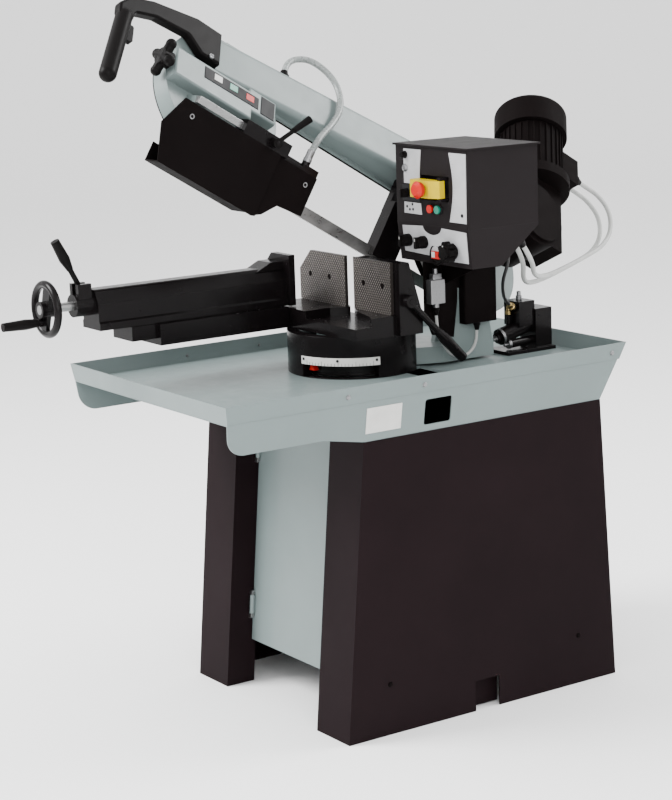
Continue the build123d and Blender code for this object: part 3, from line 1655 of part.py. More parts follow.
def guide_block():
    half = guide_bar_size / 2 + slide_clearance
    far_x = guide_bar_x - half - 10
    top = guide_bar_u + half + 7
    leg_from = guard_rear_s + 1
    leg_to = leg_from + guide_leg_length
    slot = guide_slot / 2
    guide = block(clamp_block_from, clamp_block_to, far_x, clamp_near_x, guard_top_u, top)
    guide += block(leg_from, clamp_block_from + 2, far_x, guard_rear_x, guard_top_u, guide_bar_u)
    guide += block(leg_from, leg_to, -guide_half_width, guard_rear_x, guide_low_u, guard_top_u + 1)
    guide -= block(
        guide_bar_from - guide_travel,
        clamp_block_to + 1,
        guide_bar_x - half,
        guide_bar_x + half,
        guide_bar_u - half,
        guide_bar_u + half,
    )
    guide -= block(leg_from - 1, leg_to + 1, -slot, slot, guide_low_u - 1, blade_top_u + 1)
    fitting_top = (hose_fitting_s, 6, hose_fitting_top_u)
    guide += bar((hose_fitting_s, 6, guide_bar_u - 2), fitting_top, hose_radius + 2)
    s, u = clamp_pivot
    guide += bar((s, clamp_near_x - 2, u), (s, clamp_near_x + 16, u), clamp_pin_radius)
    return cut_frame * guide


def clamp_lever():
    s, u = clamp_pivot
    near = clamp_near_x + 0.3
    far = near + 15
    middle = (near + far) / 2
    turn = math.atan2(85, -53)
    reach_s = math.cos(turn)
    reach_u = math.sin(turn)

    def at(length):
        return (s + reach_s * length, middle, u + reach_u * length)

    lever = bar((s, near, u), (s, far, u), 11)
    lever += bar(at(0), at(clamp_lever_length * 0.6), 5)
    lever += bar(at(clamp_lever_length * 0.5), at(clamp_lever_length), 6.5, 8.5)
    return cut_frame * (lever - bar((s, near - 1, u), (s, far + 1, u), clamp_pin_radius + running_clearance))


def guide_bar():
    half = guide_bar_size / 2
    x = guide_bar_x
    steel = block(guide_bar_from, guide_bar_to, x - half, x + half, guide_bar_u - half, guide_bar_u + half)
    return cut_frame * steel


# Handle with its trigger
def grip_s(a):
    return grip_top[0] + (grip_bottom[0] - grip_top[0]) * (grip_top[1] - a) / (grip_top[1] - grip_bottom[1])


trigger_back_s = grip_s(trigger_a) - grip_radius + 5


def trigger_block(room):
    half_b = trigger_width / 2 + room
    half_a = trigger_height / 2 + room
    back = trigger_back_s + (trigger_travel + 1 if room > 0 else 0)
    b0 = handle_b - half_b
    a0 = trigger_a - half_a
    return block(trigger_back_s - 16, back, b0, b0 + 2 * half_b, a0, a0 + 2 * half_a)


def handle():
    arch = [
        (beam_front_s, 62),
        (beam_front_s, 148),
        (beam_front_s + 70, 150),
        (890, 122),
        (950, 96),
        (976, 66),
        (976, 34),
        (938, 34),
        (934, 62),
        (880, 84),
        (790, 92),
        (752, 62),
    ]
    solid = prism_y(arch, handle_b - handle_width / 2, handle_b + handle_width / 2)
    corners = solid.edges().filter_by(Axis.Y).filter_by_position(Axis.X, beam_front_s + 10, 1000)
    solid = fillet(corners, handle_corner)
    rims = solid.faces().sort_by(Axis.Y)
    solid = fillet(rims[0].edges() + rims[-1].edges(), handle_rounding)
    pad = [(beam_front_s, 62), (beam_front_s, 136), (beam_front_s + 52, 124), (beam_front_s + 52, 62)]
    solid += prism_y(pad, web_outer_b, handle_b)
    top = (grip_top[0], handle_b, grip_top[1])
    bottom = (grip_bottom[0], handle_b, grip_bottom[1])
    solid += bar(top, bottom, grip_radius)
    solid += Pos(*bottom) * Sphere(grip_radius)
    solid += Pos(*top) * Sphere(grip_radius)
    return bow_frame * (solid - trigger_block(0.5))


def trigger():
    body = trigger_block(0)
    front = body.edges().filter_by(Axis.Y).group_by(Axis.X)[0]
    return bow_frame * fillet(front, 5)


# Cords as straight runs joined by tangent arcs
def cord(name, points, radius):
    points = [Vector(*point) for point in points]
    radii = []
    for before, corner, after in zip(points, points[1:], points[2:]):
        first = corner - before
        second = after - corner
        turn = math.radians(first.get_angle(second))
        radii.append(0.45 * min(first.length, second.length) / math.tan(turn / 2))
    path = FilletPolyline(*points, radius=radii)
    section = Plane(origin=path @ 0, z_dir=path % 0) * Circle(radius)
    solid = sweep(section, path=path)
    share = solid.volume / (math.pi * radius**2 * path.length)
    bends = [round(value) for value in radii]
    print(name, "length", round(path.length), "radii", bends, "fill", round(share, 3))
    return solid


def coolant_hose():
    fitting = cut_point(hose_fitting_s, 6, hose_fitting_top_u)
    points = [
        bow_point(505, hose_outlet_b, beam_top_a),
        bow_point(505, hose_outlet_b, beam_top_a + 34),
        bow_point(484, 37, beam_top_a + 66),
        bow_point(441, 52, beam_top_a + 80),
        bow_point(384, 70, beam_top_a + 46),
        bow_point(368, 80, beam_top_a - 26),
        bow_point(392, 80, beam_top_a - 92),
        fitting + rise * 50,
        fitting,
    ]
    return cord("coolant_hose", points, hose_radius)


lead_entry_x = 326.0
lead_entry_y = 100.0
lead_spacing = 28.0


def motor_lead(lead):
    gland = bow_point(terminal_s - gland_length, gland_b[lead], gland_a)
    beside = Vector(-lead_spacing, -10, -16) * lead
    entry = Vector(lead_entry_x - lead_spacing * lead, lead_entry_y, box_underside(lead_entry_y))
    return [
        gland,
        gland - along * 44,
        Vector(-40, 650, pivot_z + 87) + beside,
        Vector(-20, 668, pivot_z + 49) + beside,
        Vector(0, 656, pivot_z + 3) + beside,
        Vector(24, 608, pivot_z - 27) + beside,
        Vector(58, 530, pivot_z - 39) + beside,
        Vector(108, 424, pivot_z - 49) + beside,
        Vector(172, 308, pivot_z - 53) + beside,
        Vector(240, 212, pivot_z - 37) + beside,
        entry + box_below() * 62,
        entry,
    ]


def switch_cable():
    x = cheek_outer_x + bracket_thickness + 11
    top = switch_z - switch_height / 2 - switch_gland
    points = [
        (x, switch_y, top),
        (x, switch_y, top - 40),
        (x, switch_y + 15, top - 82),
        (x, switch_y + 46, top - 115),
        (x, switch_y + 84, top - 118),
        (x, switch_y + 110, top - 96),
        (x, switch_y + 115, top - 62),
        (x, switch_y + 115, pivot_z - 143),
    ]
    return cord("switch_cable", points, thin_cable_radius)


def hydraulic_hose():
    end = hydraulic_fitting(0)
    points = [
        hose_socket(hose_socket_length),
        hose_socket(hose_socket_length + 42),
        end + Vector(116, -104, 124),
        end + Vector(94, -102, 86),
        end + Vector(68, -82, 56),
        end + Vector(42, -58, 34),
        hydraulic_fitting(36),
        end,
    ]
    return cord("hydraulic_hose", points, hydraulic_hose_radius)


nodes = {
    "side_panel_right": side_panel(),
    "side_panel_left": mirror(side_panel(), about=Plane.YZ),
    "back_panel": back_panel(),
    "cabinet_door": cabinet_door(),
    "door_hinge_pins": door_hinge_pins(),
    "base_box": base_box(),
    "chip_tray": chip_tray(),
    "case_screws": case_screws(),
    "table_casting": table_casting(),
    "degree_scale": degree_scale(),
    "fixed_jaw_left": fixed_jaw_left(),
    "fixed_jaw_right": fixed_jaw_right(),
    "jaw_bolts": jaw_bolts(),
    "vise_bed": vise_bed(),
    "vise_slide": vise_slide(),
    "vise_screw": vise_screw(),
    "vise_handwheel": vise_handwheel(),
    "crank_grip": crank_grip(),
    "vise_lever": vise_lever(),
    "lock_lever": lock_lever(),
    "turret_casting": turret_casting(),
    "arm_pivot_pin": arm_pivot_pin(),
    "control_box_lower": control_box_lower(),
    "control_box_upper": control_box_upper(),
    "stop_lid": stop_lid(),
    "stop_mushroom": stop_mushroom(),
    "red_button": push_button(red_x),
    "green_button": push_button(green_x),
    "selector_knob": turn_knob(selector_x, selector_z, selector_radius, 14, True),
    "left_dial": turn_knob(left_dial_x, dial_z, dial_radius, 22, True),
    "mid_dial": turn_knob(mid_dial_x, dial_z, dial_radius, 22, True),
    "flow_knob": flow_knob(),
    "rocker_switch": rocker_switch(),
    "box_bracket": box_bracket(),
    "limit_switch": limit_switch(),
    "hydraulic_unit": hydraulic_unit(),
    "bow_casting": bow_casting(),
    "rear_cover": rear_cover(),
    "handle": handle(),
    "trigger": trigger(),
    "tension_slide": tension_slide(),
    "tension_knob": tension_knob(),
    "idler_wheel": saw_wheel(front_wheel_s, idler_axle_radius + running_clearance),
    "drive_wheel": saw_wheel(rear_wheel_s, shaft_radius),
    "drive_shaft": drive_shaft(),
    "gearbox_housing": gearbox_housing(),
    "motor_body": motor_body(),
    "fan_cover": fan_cover(),
    "motor_rotor": motor_rotor(),
    "saw_blade": saw_blade(),
    "rear_guide": rear_guide(),
    "blade_guard": blade_guard(),
    "guide_block": guide_block(),
    "guide_bar": guide_bar(),
    "clamp_lever": clamp_lever(),
    "coolant_hose": coolant_hose(),
    "motor_cable": cord("motor_cable", motor_lead(0), cable_radius),
    "sensor_cable": cord("sensor_cable", motor_lead(1), cable_radius),
    "switch_cable": switch_cable(),
    "hydraulic_hose": hydraulic_hose(),
}

os.makedirs("parts", exist_ok=True)
for name, shape in nodes.items():
    export_step(shape, f"parts/{name}.step")
    print(name, "solids", len(shape.solids()), "volume", round(shape.volume))
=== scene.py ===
import bpy
import bmesh
import math
from mathutils import Matrix, Vector


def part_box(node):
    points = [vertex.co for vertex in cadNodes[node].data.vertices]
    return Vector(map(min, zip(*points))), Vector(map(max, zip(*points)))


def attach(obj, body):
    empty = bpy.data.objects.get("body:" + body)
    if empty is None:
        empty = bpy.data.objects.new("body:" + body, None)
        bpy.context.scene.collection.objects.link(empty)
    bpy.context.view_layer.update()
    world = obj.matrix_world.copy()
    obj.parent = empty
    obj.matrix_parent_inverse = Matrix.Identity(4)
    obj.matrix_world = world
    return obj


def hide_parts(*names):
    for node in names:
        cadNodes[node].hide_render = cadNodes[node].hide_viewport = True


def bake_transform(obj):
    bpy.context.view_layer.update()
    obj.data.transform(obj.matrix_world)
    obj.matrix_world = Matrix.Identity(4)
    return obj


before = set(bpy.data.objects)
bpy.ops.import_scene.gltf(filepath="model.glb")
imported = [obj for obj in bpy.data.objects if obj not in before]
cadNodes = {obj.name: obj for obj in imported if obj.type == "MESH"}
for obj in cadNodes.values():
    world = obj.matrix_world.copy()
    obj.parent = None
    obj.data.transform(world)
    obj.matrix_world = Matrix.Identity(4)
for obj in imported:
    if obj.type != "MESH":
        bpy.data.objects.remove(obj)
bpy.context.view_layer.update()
print("frame loaded,", len(cadNodes), "CAD pieces")


# camera and light

shot = {
    "azimuth": 56.0,  # degrees round from the front, towards the operator's right
    "elevation": 11.6,
    "roll": -1.9,
    "focalPixels": 2153.0,
    "pictureHeight": 800,
    "sensorHeight": 36.0,  # millimetres
    "slideRight": 0.1657,  # metres in the picture plane
    "slideUp": -0.6482,
    "distance": 5.1167,
    "farthest": 60,
}


def setCamera(look):
    az = math.radians(look["azimuth"])
    el = math.radians(look["elevation"])
    back = Vector((math.sin(az) * math.cos(el), -math.cos(az) * math.cos(el), math.sin(el)))
    right = Vector((math.cos(az), math.sin(az), 0))
    up = back.cross(right)
    roll = math.radians(look["roll"])
    rolledRight = right * math.cos(roll) + up * math.sin(roll)
    rolledUp = up * math.cos(roll) - right * math.sin(roll)
    place = back * look["distance"] - rolledRight * look["slideRight"] - rolledUp * look["slideUp"]
    lens = bpy.data.cameras.new("photoCamera")
    lens.sensor_fit = "VERTICAL"
    lens.sensor_height = look["sensorHeight"]
    lens.lens = look["focalPixels"] / look["pictureHeight"] * look["sensorHeight"]
    lens.clip_end = look["farthest"]
    camera = bpy.data.objects.new("photoCamera", lens)
    bpy.context.collection.objects.link(camera)
    turn = Matrix((rolledRight, rolledUp, back)).transposed()
    camera.matrix_world = Matrix.Translation(place) @ turn.to_4x4()
    bpy.context.scene.camera = camera


studio = {
    "skyStrength": 1.7,
    "skyColour": (1.0, 1.0, 1.0),
    "lights": {  # place, what it looks at, width and height, power
        "keyLight": ((-1.6, -3.2, 3.6), (0, -0.1, 0.8), (2.2, 2.2), 440),
        "fillLight": ((3.6, -1.8, 2.2), (0.1, 0, 0.9), (2.0, 2.6), 100),
        "rimLight": ((1.2, 3.2, 3.4), (0, 0.1, 1.0), (2.4, 1.6), 185),
    },
    "floorColour": (0.93, 0.93, 0.93),
    "floorRoughness": 0.8,
    "floorSpecular": 0.1,
    "floorDrop": 0.0005,  # just under the feet
    "floorStart": 0.01,
    "floorRadius": 11.0,  # metres of flat floor before the cove turns up
    "floorSides": 72,
    "coveRadius": 3.0,
    "coveHeight": 6.0,
    "coveSteps": 8,
}


def softLight(name, place, target, size, power):
    lamp = bpy.data.lights.new(name, "AREA")
    lamp.shape = "RECTANGLE"
    lamp.size = size[0]
    lamp.size_y = size[1]
    lamp.energy = power
    holder = bpy.data.objects.new(name, lamp)
    bpy.context.collection.objects.link(holder)
    holder.location = place
    holder.rotation_euler = (Vector(target) - Vector(place)).to_track_quat("-Z", "Y").to_euler()


def circle(middle, side, other, radius, sides):
    points = []
    for step in range(sides):
        angle = math.tau * step / sides
        points.append(middle + (side * math.cos(angle) + other * math.sin(angle)) * radius)
    return points


def wallFaces(rings, sides, closed=True):  # the walls from ring to ring of corners, and the two ends
    faces = []
    for low in range(0, (rings - 1) * sides, sides):
        for step in range(sides):
            beside = (step + 1) % sides
            faces.append((low + step, low + beside, low + sides + beside, low + sides + step))
    if closed:
        faces.append(tuple(reversed(range(sides))))
        faces.append(tuple(range((rings - 1) * sides, rings * sides)))
    return faces


crispAbove = math.radians(35)  # edges that turn further than this stay crisp


def turnedMesh(name, base, axis, profile, sides=32, closed=True):  # profile is (distance along, radius)
    axis = Vector(axis).normalized()
    side = axis.orthogonal().normalized()
    other = axis.cross(side)
    points = []
    for height, radius in profile:
        points += circle(Vector(base) + axis * height, side, other, radius, sides)
    mesh = bpy.data.meshes.new(name)
    mesh.from_pydata(points, [], wallFaces(len(profile), sides, closed))
    mesh.shade_smooth()
    mesh.set_sharp_from_angle(angle=crispAbove)
    return mesh


def setStudio(look):
    world = bpy.data.worlds.new("paleStudio")
    world.use_nodes = True
    sky = world.node_tree.nodes["Background"]
    sky.inputs["Color"].default_value = (*look["skyColour"], 1)
    sky.inputs["Strength"].default_value = look["skyStrength"]
    bpy.context.scene.world = world
    for name, light in look["lights"].items():
        softLight(name, *light)
    cove = [(-look["floorDrop"], look["floorStart"]), (-look["floorDrop"], look["floorRadius"])]
    for step in range(1, look["coveSteps"] + 1):
        angle = math.pi / 2 * step / look["coveSteps"]
        reach = look["floorRadius"] + look["coveRadius"] * math.sin(angle)
        cove.append((look["coveRadius"] * (1 - math.cos(angle)), reach))
    cove.append((look["coveHeight"], look["floorRadius"] + look["coveRadius"]))
    paperMesh = turnedMesh("studioFloor", (0, 0, 0), (0, 0, 1), cove, look["floorSides"], closed=False)
    floor = bpy.data.objects.new("studioFloor", paperMesh)
    bpy.context.collection.objects.link(floor)
    paper = bpy.data.materials.new("floorPaper")
    paper.use_nodes = True
    shader = paper.node_tree.nodes["Principled BSDF"]
    shader.inputs["Base Color"].default_value = (*look["floorColour"], 1)
    shader.inputs["Roughness"].default_value = look["floorRoughness"]
    shader.inputs["Specular IOR Level"].default_value = look["floorSpecular"]
    paperMesh.materials.append(paper)


setCamera(shot)
setStudio(studio)
print("camera and studio set")


# finishes

edgeSoftness = 0.0012  # metres that sharp edges are rounded by in the shading


class Finish:
    def __init__(self, name):
        self.material = bpy.data.materials.new(name)
        self.material.use_nodes = True
        self.tree = self.material.node_tree
        self.shader = self.tree.nodes["Principled BSDF"]
        self.coords = self.tree.nodes.new("ShaderNodeTexCoord")
        self.place = self.coords.outputs["Object"]
        self.edges = self.node("ShaderNodeBevel", Radius=edgeSoftness).outputs["Normal"]

    def node(self, kind, **inputs):
        made = self.tree.nodes.new(kind)
        for key, value in inputs.items():
            made.inputs[key.replace("_", " ")].default_value = value
        return made

    def link(self, source, target):
        self.tree.links.new(source, target)

    def stretched(self, scale, turn=(0, 0, 0)):  # object coordinates, scaled along each axis
        mapping = self.node("ShaderNodeMapping")
        mapping.inputs["Scale"].default_value = scale
        mapping.inputs["Rotation"].default_value = turn
        self.link(self.place, mapping.inputs["Vector"])
        return mapping.outputs["Vector"]

    def noise(self, scale, detail=3.0, rough=0.55, vector=None):
        made = self.node("ShaderNodeTexNoise", Scale=scale, Detail=detail, Roughness=rough)
        self.link(vector or self.place, made.inputs["Vector"])
        return made.outputs["Fac"]

    def spread(self, value, low, high, fromLow=0.3, fromHigh=0.7):
        made = self.node("ShaderNodeMapRange")
        made.inputs["From Min"].default_value = fromLow
        made.inputs["From Max"].default_value = fromHigh
        made.inputs["To Min"].default_value = low
        made.inputs["To Max"].default_value = high
        self.link(value, made.inputs["Value"])
        return made.outputs["Result"]

    def ramp(self, value, stops):
        made = self.node("ShaderNodeValToRGB")
        band = made.color_ramp
        band.elements[0].position = stops[0][0]
        band.elements[0].color = (*stops[0][1], 1)
        band.elements[1].position = stops[-1][0]
        band.elements[1].color = (*stops[-1][1], 1)
        for where, colour in stops[1:-1]:
            band.elements.new(where).color = (*colour, 1)
        self.link(value, made.inputs["Fac"])
        return made.outputs["Color"]

    def bump(self, height, strength, distance, under=None):
        made = self.node("ShaderNodeBump", Strength=strength, Distance=distance)
        self.link(height, made.inputs["Height"])
        self.link(under or self.edges, made.inputs["Normal"])
        return made.outputs["Normal"]

    def shine(self, **values):  # constants straight on the shader
        for key, value in values.items():
            self.shader.inputs[key.replace("_", " ")].default_value = value

    def wire(self, colour=None, roughness=None, normal=None):
        if colour is not None:
            self.link(colour, self.shader.inputs["Base Color"])
        if roughness is not None:
            self.link(roughness, self.shader.inputs["Roughness"])
        if normal is not None:
            self.link(normal, self.shader.inputs["Normal"])
        return self.material


surface = {  # scales of the noise, and depths of the bumps in metres
    "peelDepth": 0.0006, "castScale": 70, "castDepth": 0.002, "coatRoughness": 0.15,
    "powderDepth": 0.0004, "powderGlossScale": 30,
    "lineDepth": 0.0003,
    "grainDepth": 0.0003, "cloudScale": 35, "plasticGlossScale": 60, "plasticSpecular": 0.4,
}


def tone(colour, factor):
    return tuple(min(1.0, c * factor) for c in colour)


def sprayedPaint(name, look):  # smooth paint on sheet or casting, with a slight orange peel
    f = Finish(name)
    mottle = f.noise(look["mottleScale"], 4, 0.6)
    base = look["colour"]
    darker = tone(base, 1 - look["mottle"])
    paler = tone(base, 1 + look["mottle"])
    colour = f.ramp(mottle, [(0.3, darker), (0.5, base), (0.72, paler)])
    gloss = f.spread(f.noise(look["glossScale"], 3), *look["roughness"])
    normal = f.bump(f.noise(look["peelScale"], 2, 0.4), look["peel"], surface["peelDepth"])
    if look.get("cast"):  # sand-cast skin under the paint
        normal = f.bump(f.noise(surface["castScale"], 4, 0.6), look["cast"], surface["castDepth"], normal)
    f.shine(Coat_Weight=look["coat"], Coat_Roughness=surface["coatRoughness"])
    f.shine(Specular_IOR_Level=look["specular"])
    return f.wire(colour, gloss, normal)


def powderCoat(name, look):  # fine wrinkled powder coat
    f = Finish(name)
    base = look["colour"]
    cloud = f.noise(look["mottleScale"], 3, 0.5)
    darker = tone(base, 1 - look["mottle"])
    paler = tone(base, 1 + look["mottle"])
    colour = f.ramp(cloud, [(0.3, darker), (0.7, paler)])
    cells = f.node("ShaderNodeTexVoronoi", Scale=look["grainScale"])
    f.link(f.place, cells.inputs["Vector"])
    normal = f.bump(cells.outputs["Distance"], look["grain"], surface["powderDepth"])
    gloss = f.spread(f.noise(surface["powderGlossScale"], 3), *look["roughness"])
    f.shine(Specular_IOR_Level=look["specular"])
    return f.wire(colour, gloss, normal)


def brushedMetal(name, look):  # fine lines along one axis
    f = Finish(name)
    lines = f.noise(1.0, 5, 0.65, f.stretched(look["lines"], look.get("turn", (0, 0, 0))))
    base = look["colour"]
    colour = f.ramp(lines, [(0.25, tone(base, 0.8)), (0.55, base), (0.8, tone(base, 1.15))])
    gloss = f.spread(lines, *look["roughness"])
    normal = f.bump(lines, look["depth"], surface["lineDepth"])
    f.shine(Metallic=1.0)
    return f.wire(colour, gloss, normal)


def mouldedPlastic(name, look):
    f = Finish(name)
    base = look["colour"]
    cloud = f.noise(surface["cloudScale"], 3, 0.5)
    colour = f.ramp(cloud, [(0.3, tone(base, 0.92)), (0.7, tone(base, 1.08))])
    gloss = f.spread(f.noise(surface["plasticGlossScale"], 3), *look["roughness"])
    normal = f.bump(f.noise(look["grainScale"], 2, 0.5), look["grain"], surface["grainDepth"])
    f.shine(Specular_IOR_Level=look.get("specular", surface["plasticSpecular"]))
    return f.wire(colour, gloss, normal)


greyPaint = sprayedPaint("greyPaint", {
    "colour": (0.132, 0.166, 0.164), "mottle": 0.04, "mottleScale": 7.0, "glossScale": 24.0,
    "roughness": (0.36, 0.44), "peelScale": 420.0, "peel": 0.06, "coat": 0.08, "specular": 0.3,
})
castGreyPaint = sprayedPaint("castGreyPaint", {
    "colour": (0.128, 0.160, 0.157), "mottle": 0.06, "mottleScale": 9.0, "glossScale": 30.0,
    "roughness": (0.32, 0.42), "peelScale": 300.0, "peel": 0.08, "coat": 0.10, "specular": 0.3,
    "cast": 0.06,
})
blackCastPaint = sprayedPaint("blackCastPaint", {
    "colour": (0.0034, 0.0026, 0.0028), "mottle": 0.12, "mottleScale": 12.0, "glossScale": 40.0,
    "roughness": (0.20, 0.28), "peelScale": 260.0, "peel": 0.05, "coat": 0.02, "specular": 0.11,
    "cast": 0.04,
})
blackSheetPaint = sprayedPaint("blackSheetPaint", {
    "colour": (0.0038, 0.0027, 0.0027), "mottle": 0.10, "mottleScale": 9.0, "glossScale": 30.0,
    "roughness": (0.58, 0.66), "peelScale": 420.0, "peel": 0.05, "coat": 0.0, "specular": 0.02,
})
standCoat = powderCoat("standCoat", {
    "colour": (0.0085, 0.0050, 0.0058), "mottle": 0.10, "mottleScale": 5.0, "grainScale": 900.0,
    "grain": 0.10, "roughness": (0.50, 0.54), "specular": 0.03,
})
caseCoat = powderCoat("caseCoat", {
    "colour": (0.0078, 0.0060, 0.0064), "mottle": 0.08, "mottleScale": 8.0, "grainScale": 1100.0,
    "grain": 0.14, "roughness": (0.48, 0.53), "specular": 0.08,
})
turnedSteel = brushedMetal("turnedSteel", {
    "colour": (0.33, 0.33, 0.33), "lines": (900, 40, 900), "roughness": (0.22, 0.38), "depth": 0.08,
})
bandSteel = brushedMetal("bandSteel", {
    "colour": (0.27, 0.265, 0.26), "lines": (900, 25, 60), "roughness": (0.25, 0.4), "depth": 0.06,
    "turn": (math.radians(-31), 0, 0),  # along the raised blade
})
castIron = brushedMetal("castIron", {
    "colour": (0.15, 0.147, 0.144), "lines": (400, 400, 400), "roughness": (0.45, 0.6), "depth": 0.15,
})
brass = brushedMetal("brass", {
    "colour": (0.36, 0.26, 0.11), "lines": (300, 300, 300), "roughness": (0.28, 0.42), "depth": 0.08,
})
zinc = brushedMetal("zinc", {
    "colour": (0.23, 0.23, 0.235), "lines": (260, 260, 260), "roughness": (0.35, 0.5), "depth": 0.10,
})
blackPlastic = mouldedPlastic("blackPlastic", {
    "colour": (0.0042, 0.0036, 0.0036), "roughness": (0.36, 0.41), "grainScale": 700.0, "grain": 0.05,
    "specular": 0.045,
})
stopYellow = mouldedPlastic("stopYellow", {
    "colour": (0.50, 0.36, 0.0), "roughness": (0.32, 0.40), "grainScale": 900.0, "grain": 0.05,
    "specular": 0.12,
})
signalRed = mouldedPlastic("signalRed", {
    "colour": (0.42, 0.008, 0.005), "roughness": (0.27, 0.35), "grainScale": 900.0, "grain": 0.04,
    "specular": 0.2,
})
signalGreen = mouldedPlastic("signalGreen", {
    "colour": (0.008, 0.19, 0.125), "roughness": (0.27, 0.35), "grainScale": 900.0, "grain": 0.04,
})
scaleWhite = mouldedPlastic("scaleWhite", {
    "colour": (0.50, 0.495, 0.475), "roughness": (0.37, 0.45), "grainScale": 500.0, "grain": 0.03,
})
panelGrey = mouldedPlastic("panelGrey", {
    "colour": (0.36, 0.36, 0.368), "roughness": (0.40, 0.5), "grainScale": 800.0, "grain": 0.04,
})
inkDark = mouldedPlastic("inkDark", {
    "colour": (0.008, 0.008, 0.009), "roughness": (0.46, 0.54), "grainScale": 800.0, "grain": 0.03,
    "specular": 0.15,
})

serration = {
    "scale": 52, "slant": 55,  # degrees either way
    "facing": -0.7,  # only what faces the operator is cut
    "plain": 0.2,  # height of the sides that are not cut
    "bump": 0.9, "depth": 0.0012, "metal": 0.6, "roughness": (0.38, 0.52), "glossScale": 60,
    # colours by the cuts' height: painted shade in the grooves, darker than the uncut steel, and a painted
    # highlight on the crests
    "shades": [
        (0.05, (0.010, 0.008, 0.007)), (0.30, (0.034, 0.028, 0.025)), (0.85, (0.20, 0.175, 0.16)),
    ],
}


def serratedJaw(look):  # crossed diagonal cuts on the jaw plates
    f = Finish("serratedJaw")
    heights = []
    for side in (1, -1):
        waves = f.node("ShaderNodeTexWave", Scale=1.0, Distortion=0.0)
        waves.bands_direction = "Z"
        slanted = f.stretched([look["scale"]] * 3, (0, side * math.radians(look["slant"]), 0))
        f.link(slanted, waves.inputs["Vector"])
        heights.append(waves.outputs["Fac"])
    both = f.node("ShaderNodeMath")
    both.operation = "MULTIPLY"
    f.link(heights[0], both.inputs[0])
    f.link(heights[1], both.inputs[1])
    facing = f.node("ShaderNodeSeparateXYZ")
    f.link(f.node("ShaderNodeNewGeometry").outputs["True Normal"], facing.inputs["Vector"])
    gripping = f.node("ShaderNodeMath")  # the cuts are on the gripping side alone
    gripping.operation = "LESS_THAN"
    gripping.inputs[1].default_value = look["facing"]
    f.link(facing.outputs["Y"], gripping.inputs[0])
    cuts = f.node("ShaderNodeMix")
    cuts.inputs["A"].default_value = look["plain"]
    f.link(gripping.outputs["Value"], cuts.inputs["Factor"])
    f.link(both.outputs["Value"], cuts.inputs["B"])
    # the colour follows the cuts' height, so the grooves carry painted shade and the crests a painted
    # highlight
    colour = f.ramp(cuts.outputs["Result"], look["shades"])
    normal = f.bump(cuts.outputs["Result"], look["bump"], look["depth"])
    f.shine(Metallic=look["metal"])
    return f.wire(colour, f.spread(f.noise(look["glossScale"], 3), *look["roughness"]), normal)


jawSteel = serratedJaw(serration)

tube = {
    "shades": [(0.3, (0.20, 0.22, 0.215)), (0.7, (0.27, 0.29, 0.285))], "cloudScale": 40,
    "through": 0.3, "bending": 1.35, "coat": 0.3, "coatRoughness": 0.1,
    "roughness": (0.22, 0.34), "glossScale": 90, "bumpScale": 200, "bump": 0.05, "depth": 0.0004,
}


def clearTube(look):
    f = Finish("clearTube")
    colour = f.ramp(f.noise(look["cloudScale"], 3), look["shades"])
    f.shine(Transmission_Weight=look["through"], IOR=look["bending"])
    f.shine(Coat_Weight=look["coat"], Coat_Roughness=look["coatRoughness"])
    gloss = f.spread(f.noise(look["glossScale"], 2), *look["roughness"])
    return f.wire(colour, gloss, f.bump(f.noise(look["bumpScale"], 2), look["bump"], look["depth"]))


sheath = {
    "cloudScale": 30, "darker": 0.9, "paler": 1.06,
    "roughness": (0.4, 0.55), "glossScale": 80, "bumpScale": 500, "bump": 0.08, "depth": 0.0004,
}


def cableSheath(name, colour, look):
    f = Finish(name)
    cloud = f.noise(look["cloudScale"], 3)
    shade = f.ramp(cloud, [(0.3, tone(colour, look["darker"])), (0.7, tone(colour, look["paler"]))])
    gloss = f.spread(f.noise(look["glossScale"], 3), *look["roughness"])
    return f.wire(shade, gloss, f.bump(f.noise(look["bumpScale"], 2), look["bump"], look["depth"]))


hoseClear = clearTube(tube)
cableGrey = cableSheath("cableGrey", (0.33, 0.335, 0.325), sheath)
hoseBlack = cableSheath("hoseBlack", (0.007, 0.0065, 0.0065), sheath)

wearing = {
    standCoat: "side_panel_right side_panel_left back_panel",
    greyPaint: "cabinet_door base_box chip_tray",
    castGreyPaint: "bow_casting turret_casting",
    blackCastPaint: "table_casting vise_bed vise_slide guide_block hydraulic_unit rear_guide"
                    " vise_handwheel tension_slide lock_lever",
    blackSheetPaint: "gearbox_housing motor_body fan_cover rear_cover blade_guard box_bracket"
                     " case_screws jaw_bolts",
    caseCoat: "control_box_lower control_box_upper",
    turnedSteel: "vise_screw arm_pivot_pin guide_bar drive_shaft motor_rotor door_hinge_pins",
    zinc: "limit_switch",
    bandSteel: "saw_blade",
    jawSteel: "fixed_jaw_left fixed_jaw_right",
    castIron: "idler_wheel drive_wheel",
    blackPlastic: "handle crank_grip vise_lever tension_knob clamp_lever trigger left_dial mid_dial"
                  " flow_knob selector_knob",
    scaleWhite: "degree_scale",
    stopYellow: "stop_lid",
    signalRed: "stop_mushroom red_button rocker_switch",
    signalGreen: "green_button",
    hoseClear: "coolant_hose",
    cableGrey: "motor_cable sensor_cable switch_cable",
    hoseBlack: "hydraulic_hose",
}
brightScrewsAbove = 0.69  # the tray's screws are bright, the stand's are black
for finish, names in wearing.items():
    for name in names.split():
        mesh = cadNodes[name].data
        mesh.materials.clear()
        mesh.materials.append(finish)
screwHeads = cadNodes["case_screws"].data
screwHeads.materials.append(zinc)
for face in screwHeads.polygons:
    face.material_index = 1 if face.center.z > brightScrewsAbove else 0
print("finishes on", sum(len(names.split()) for names in wearing.values()), "CAD pieces")


# places on the saw arm, in metres from the frame

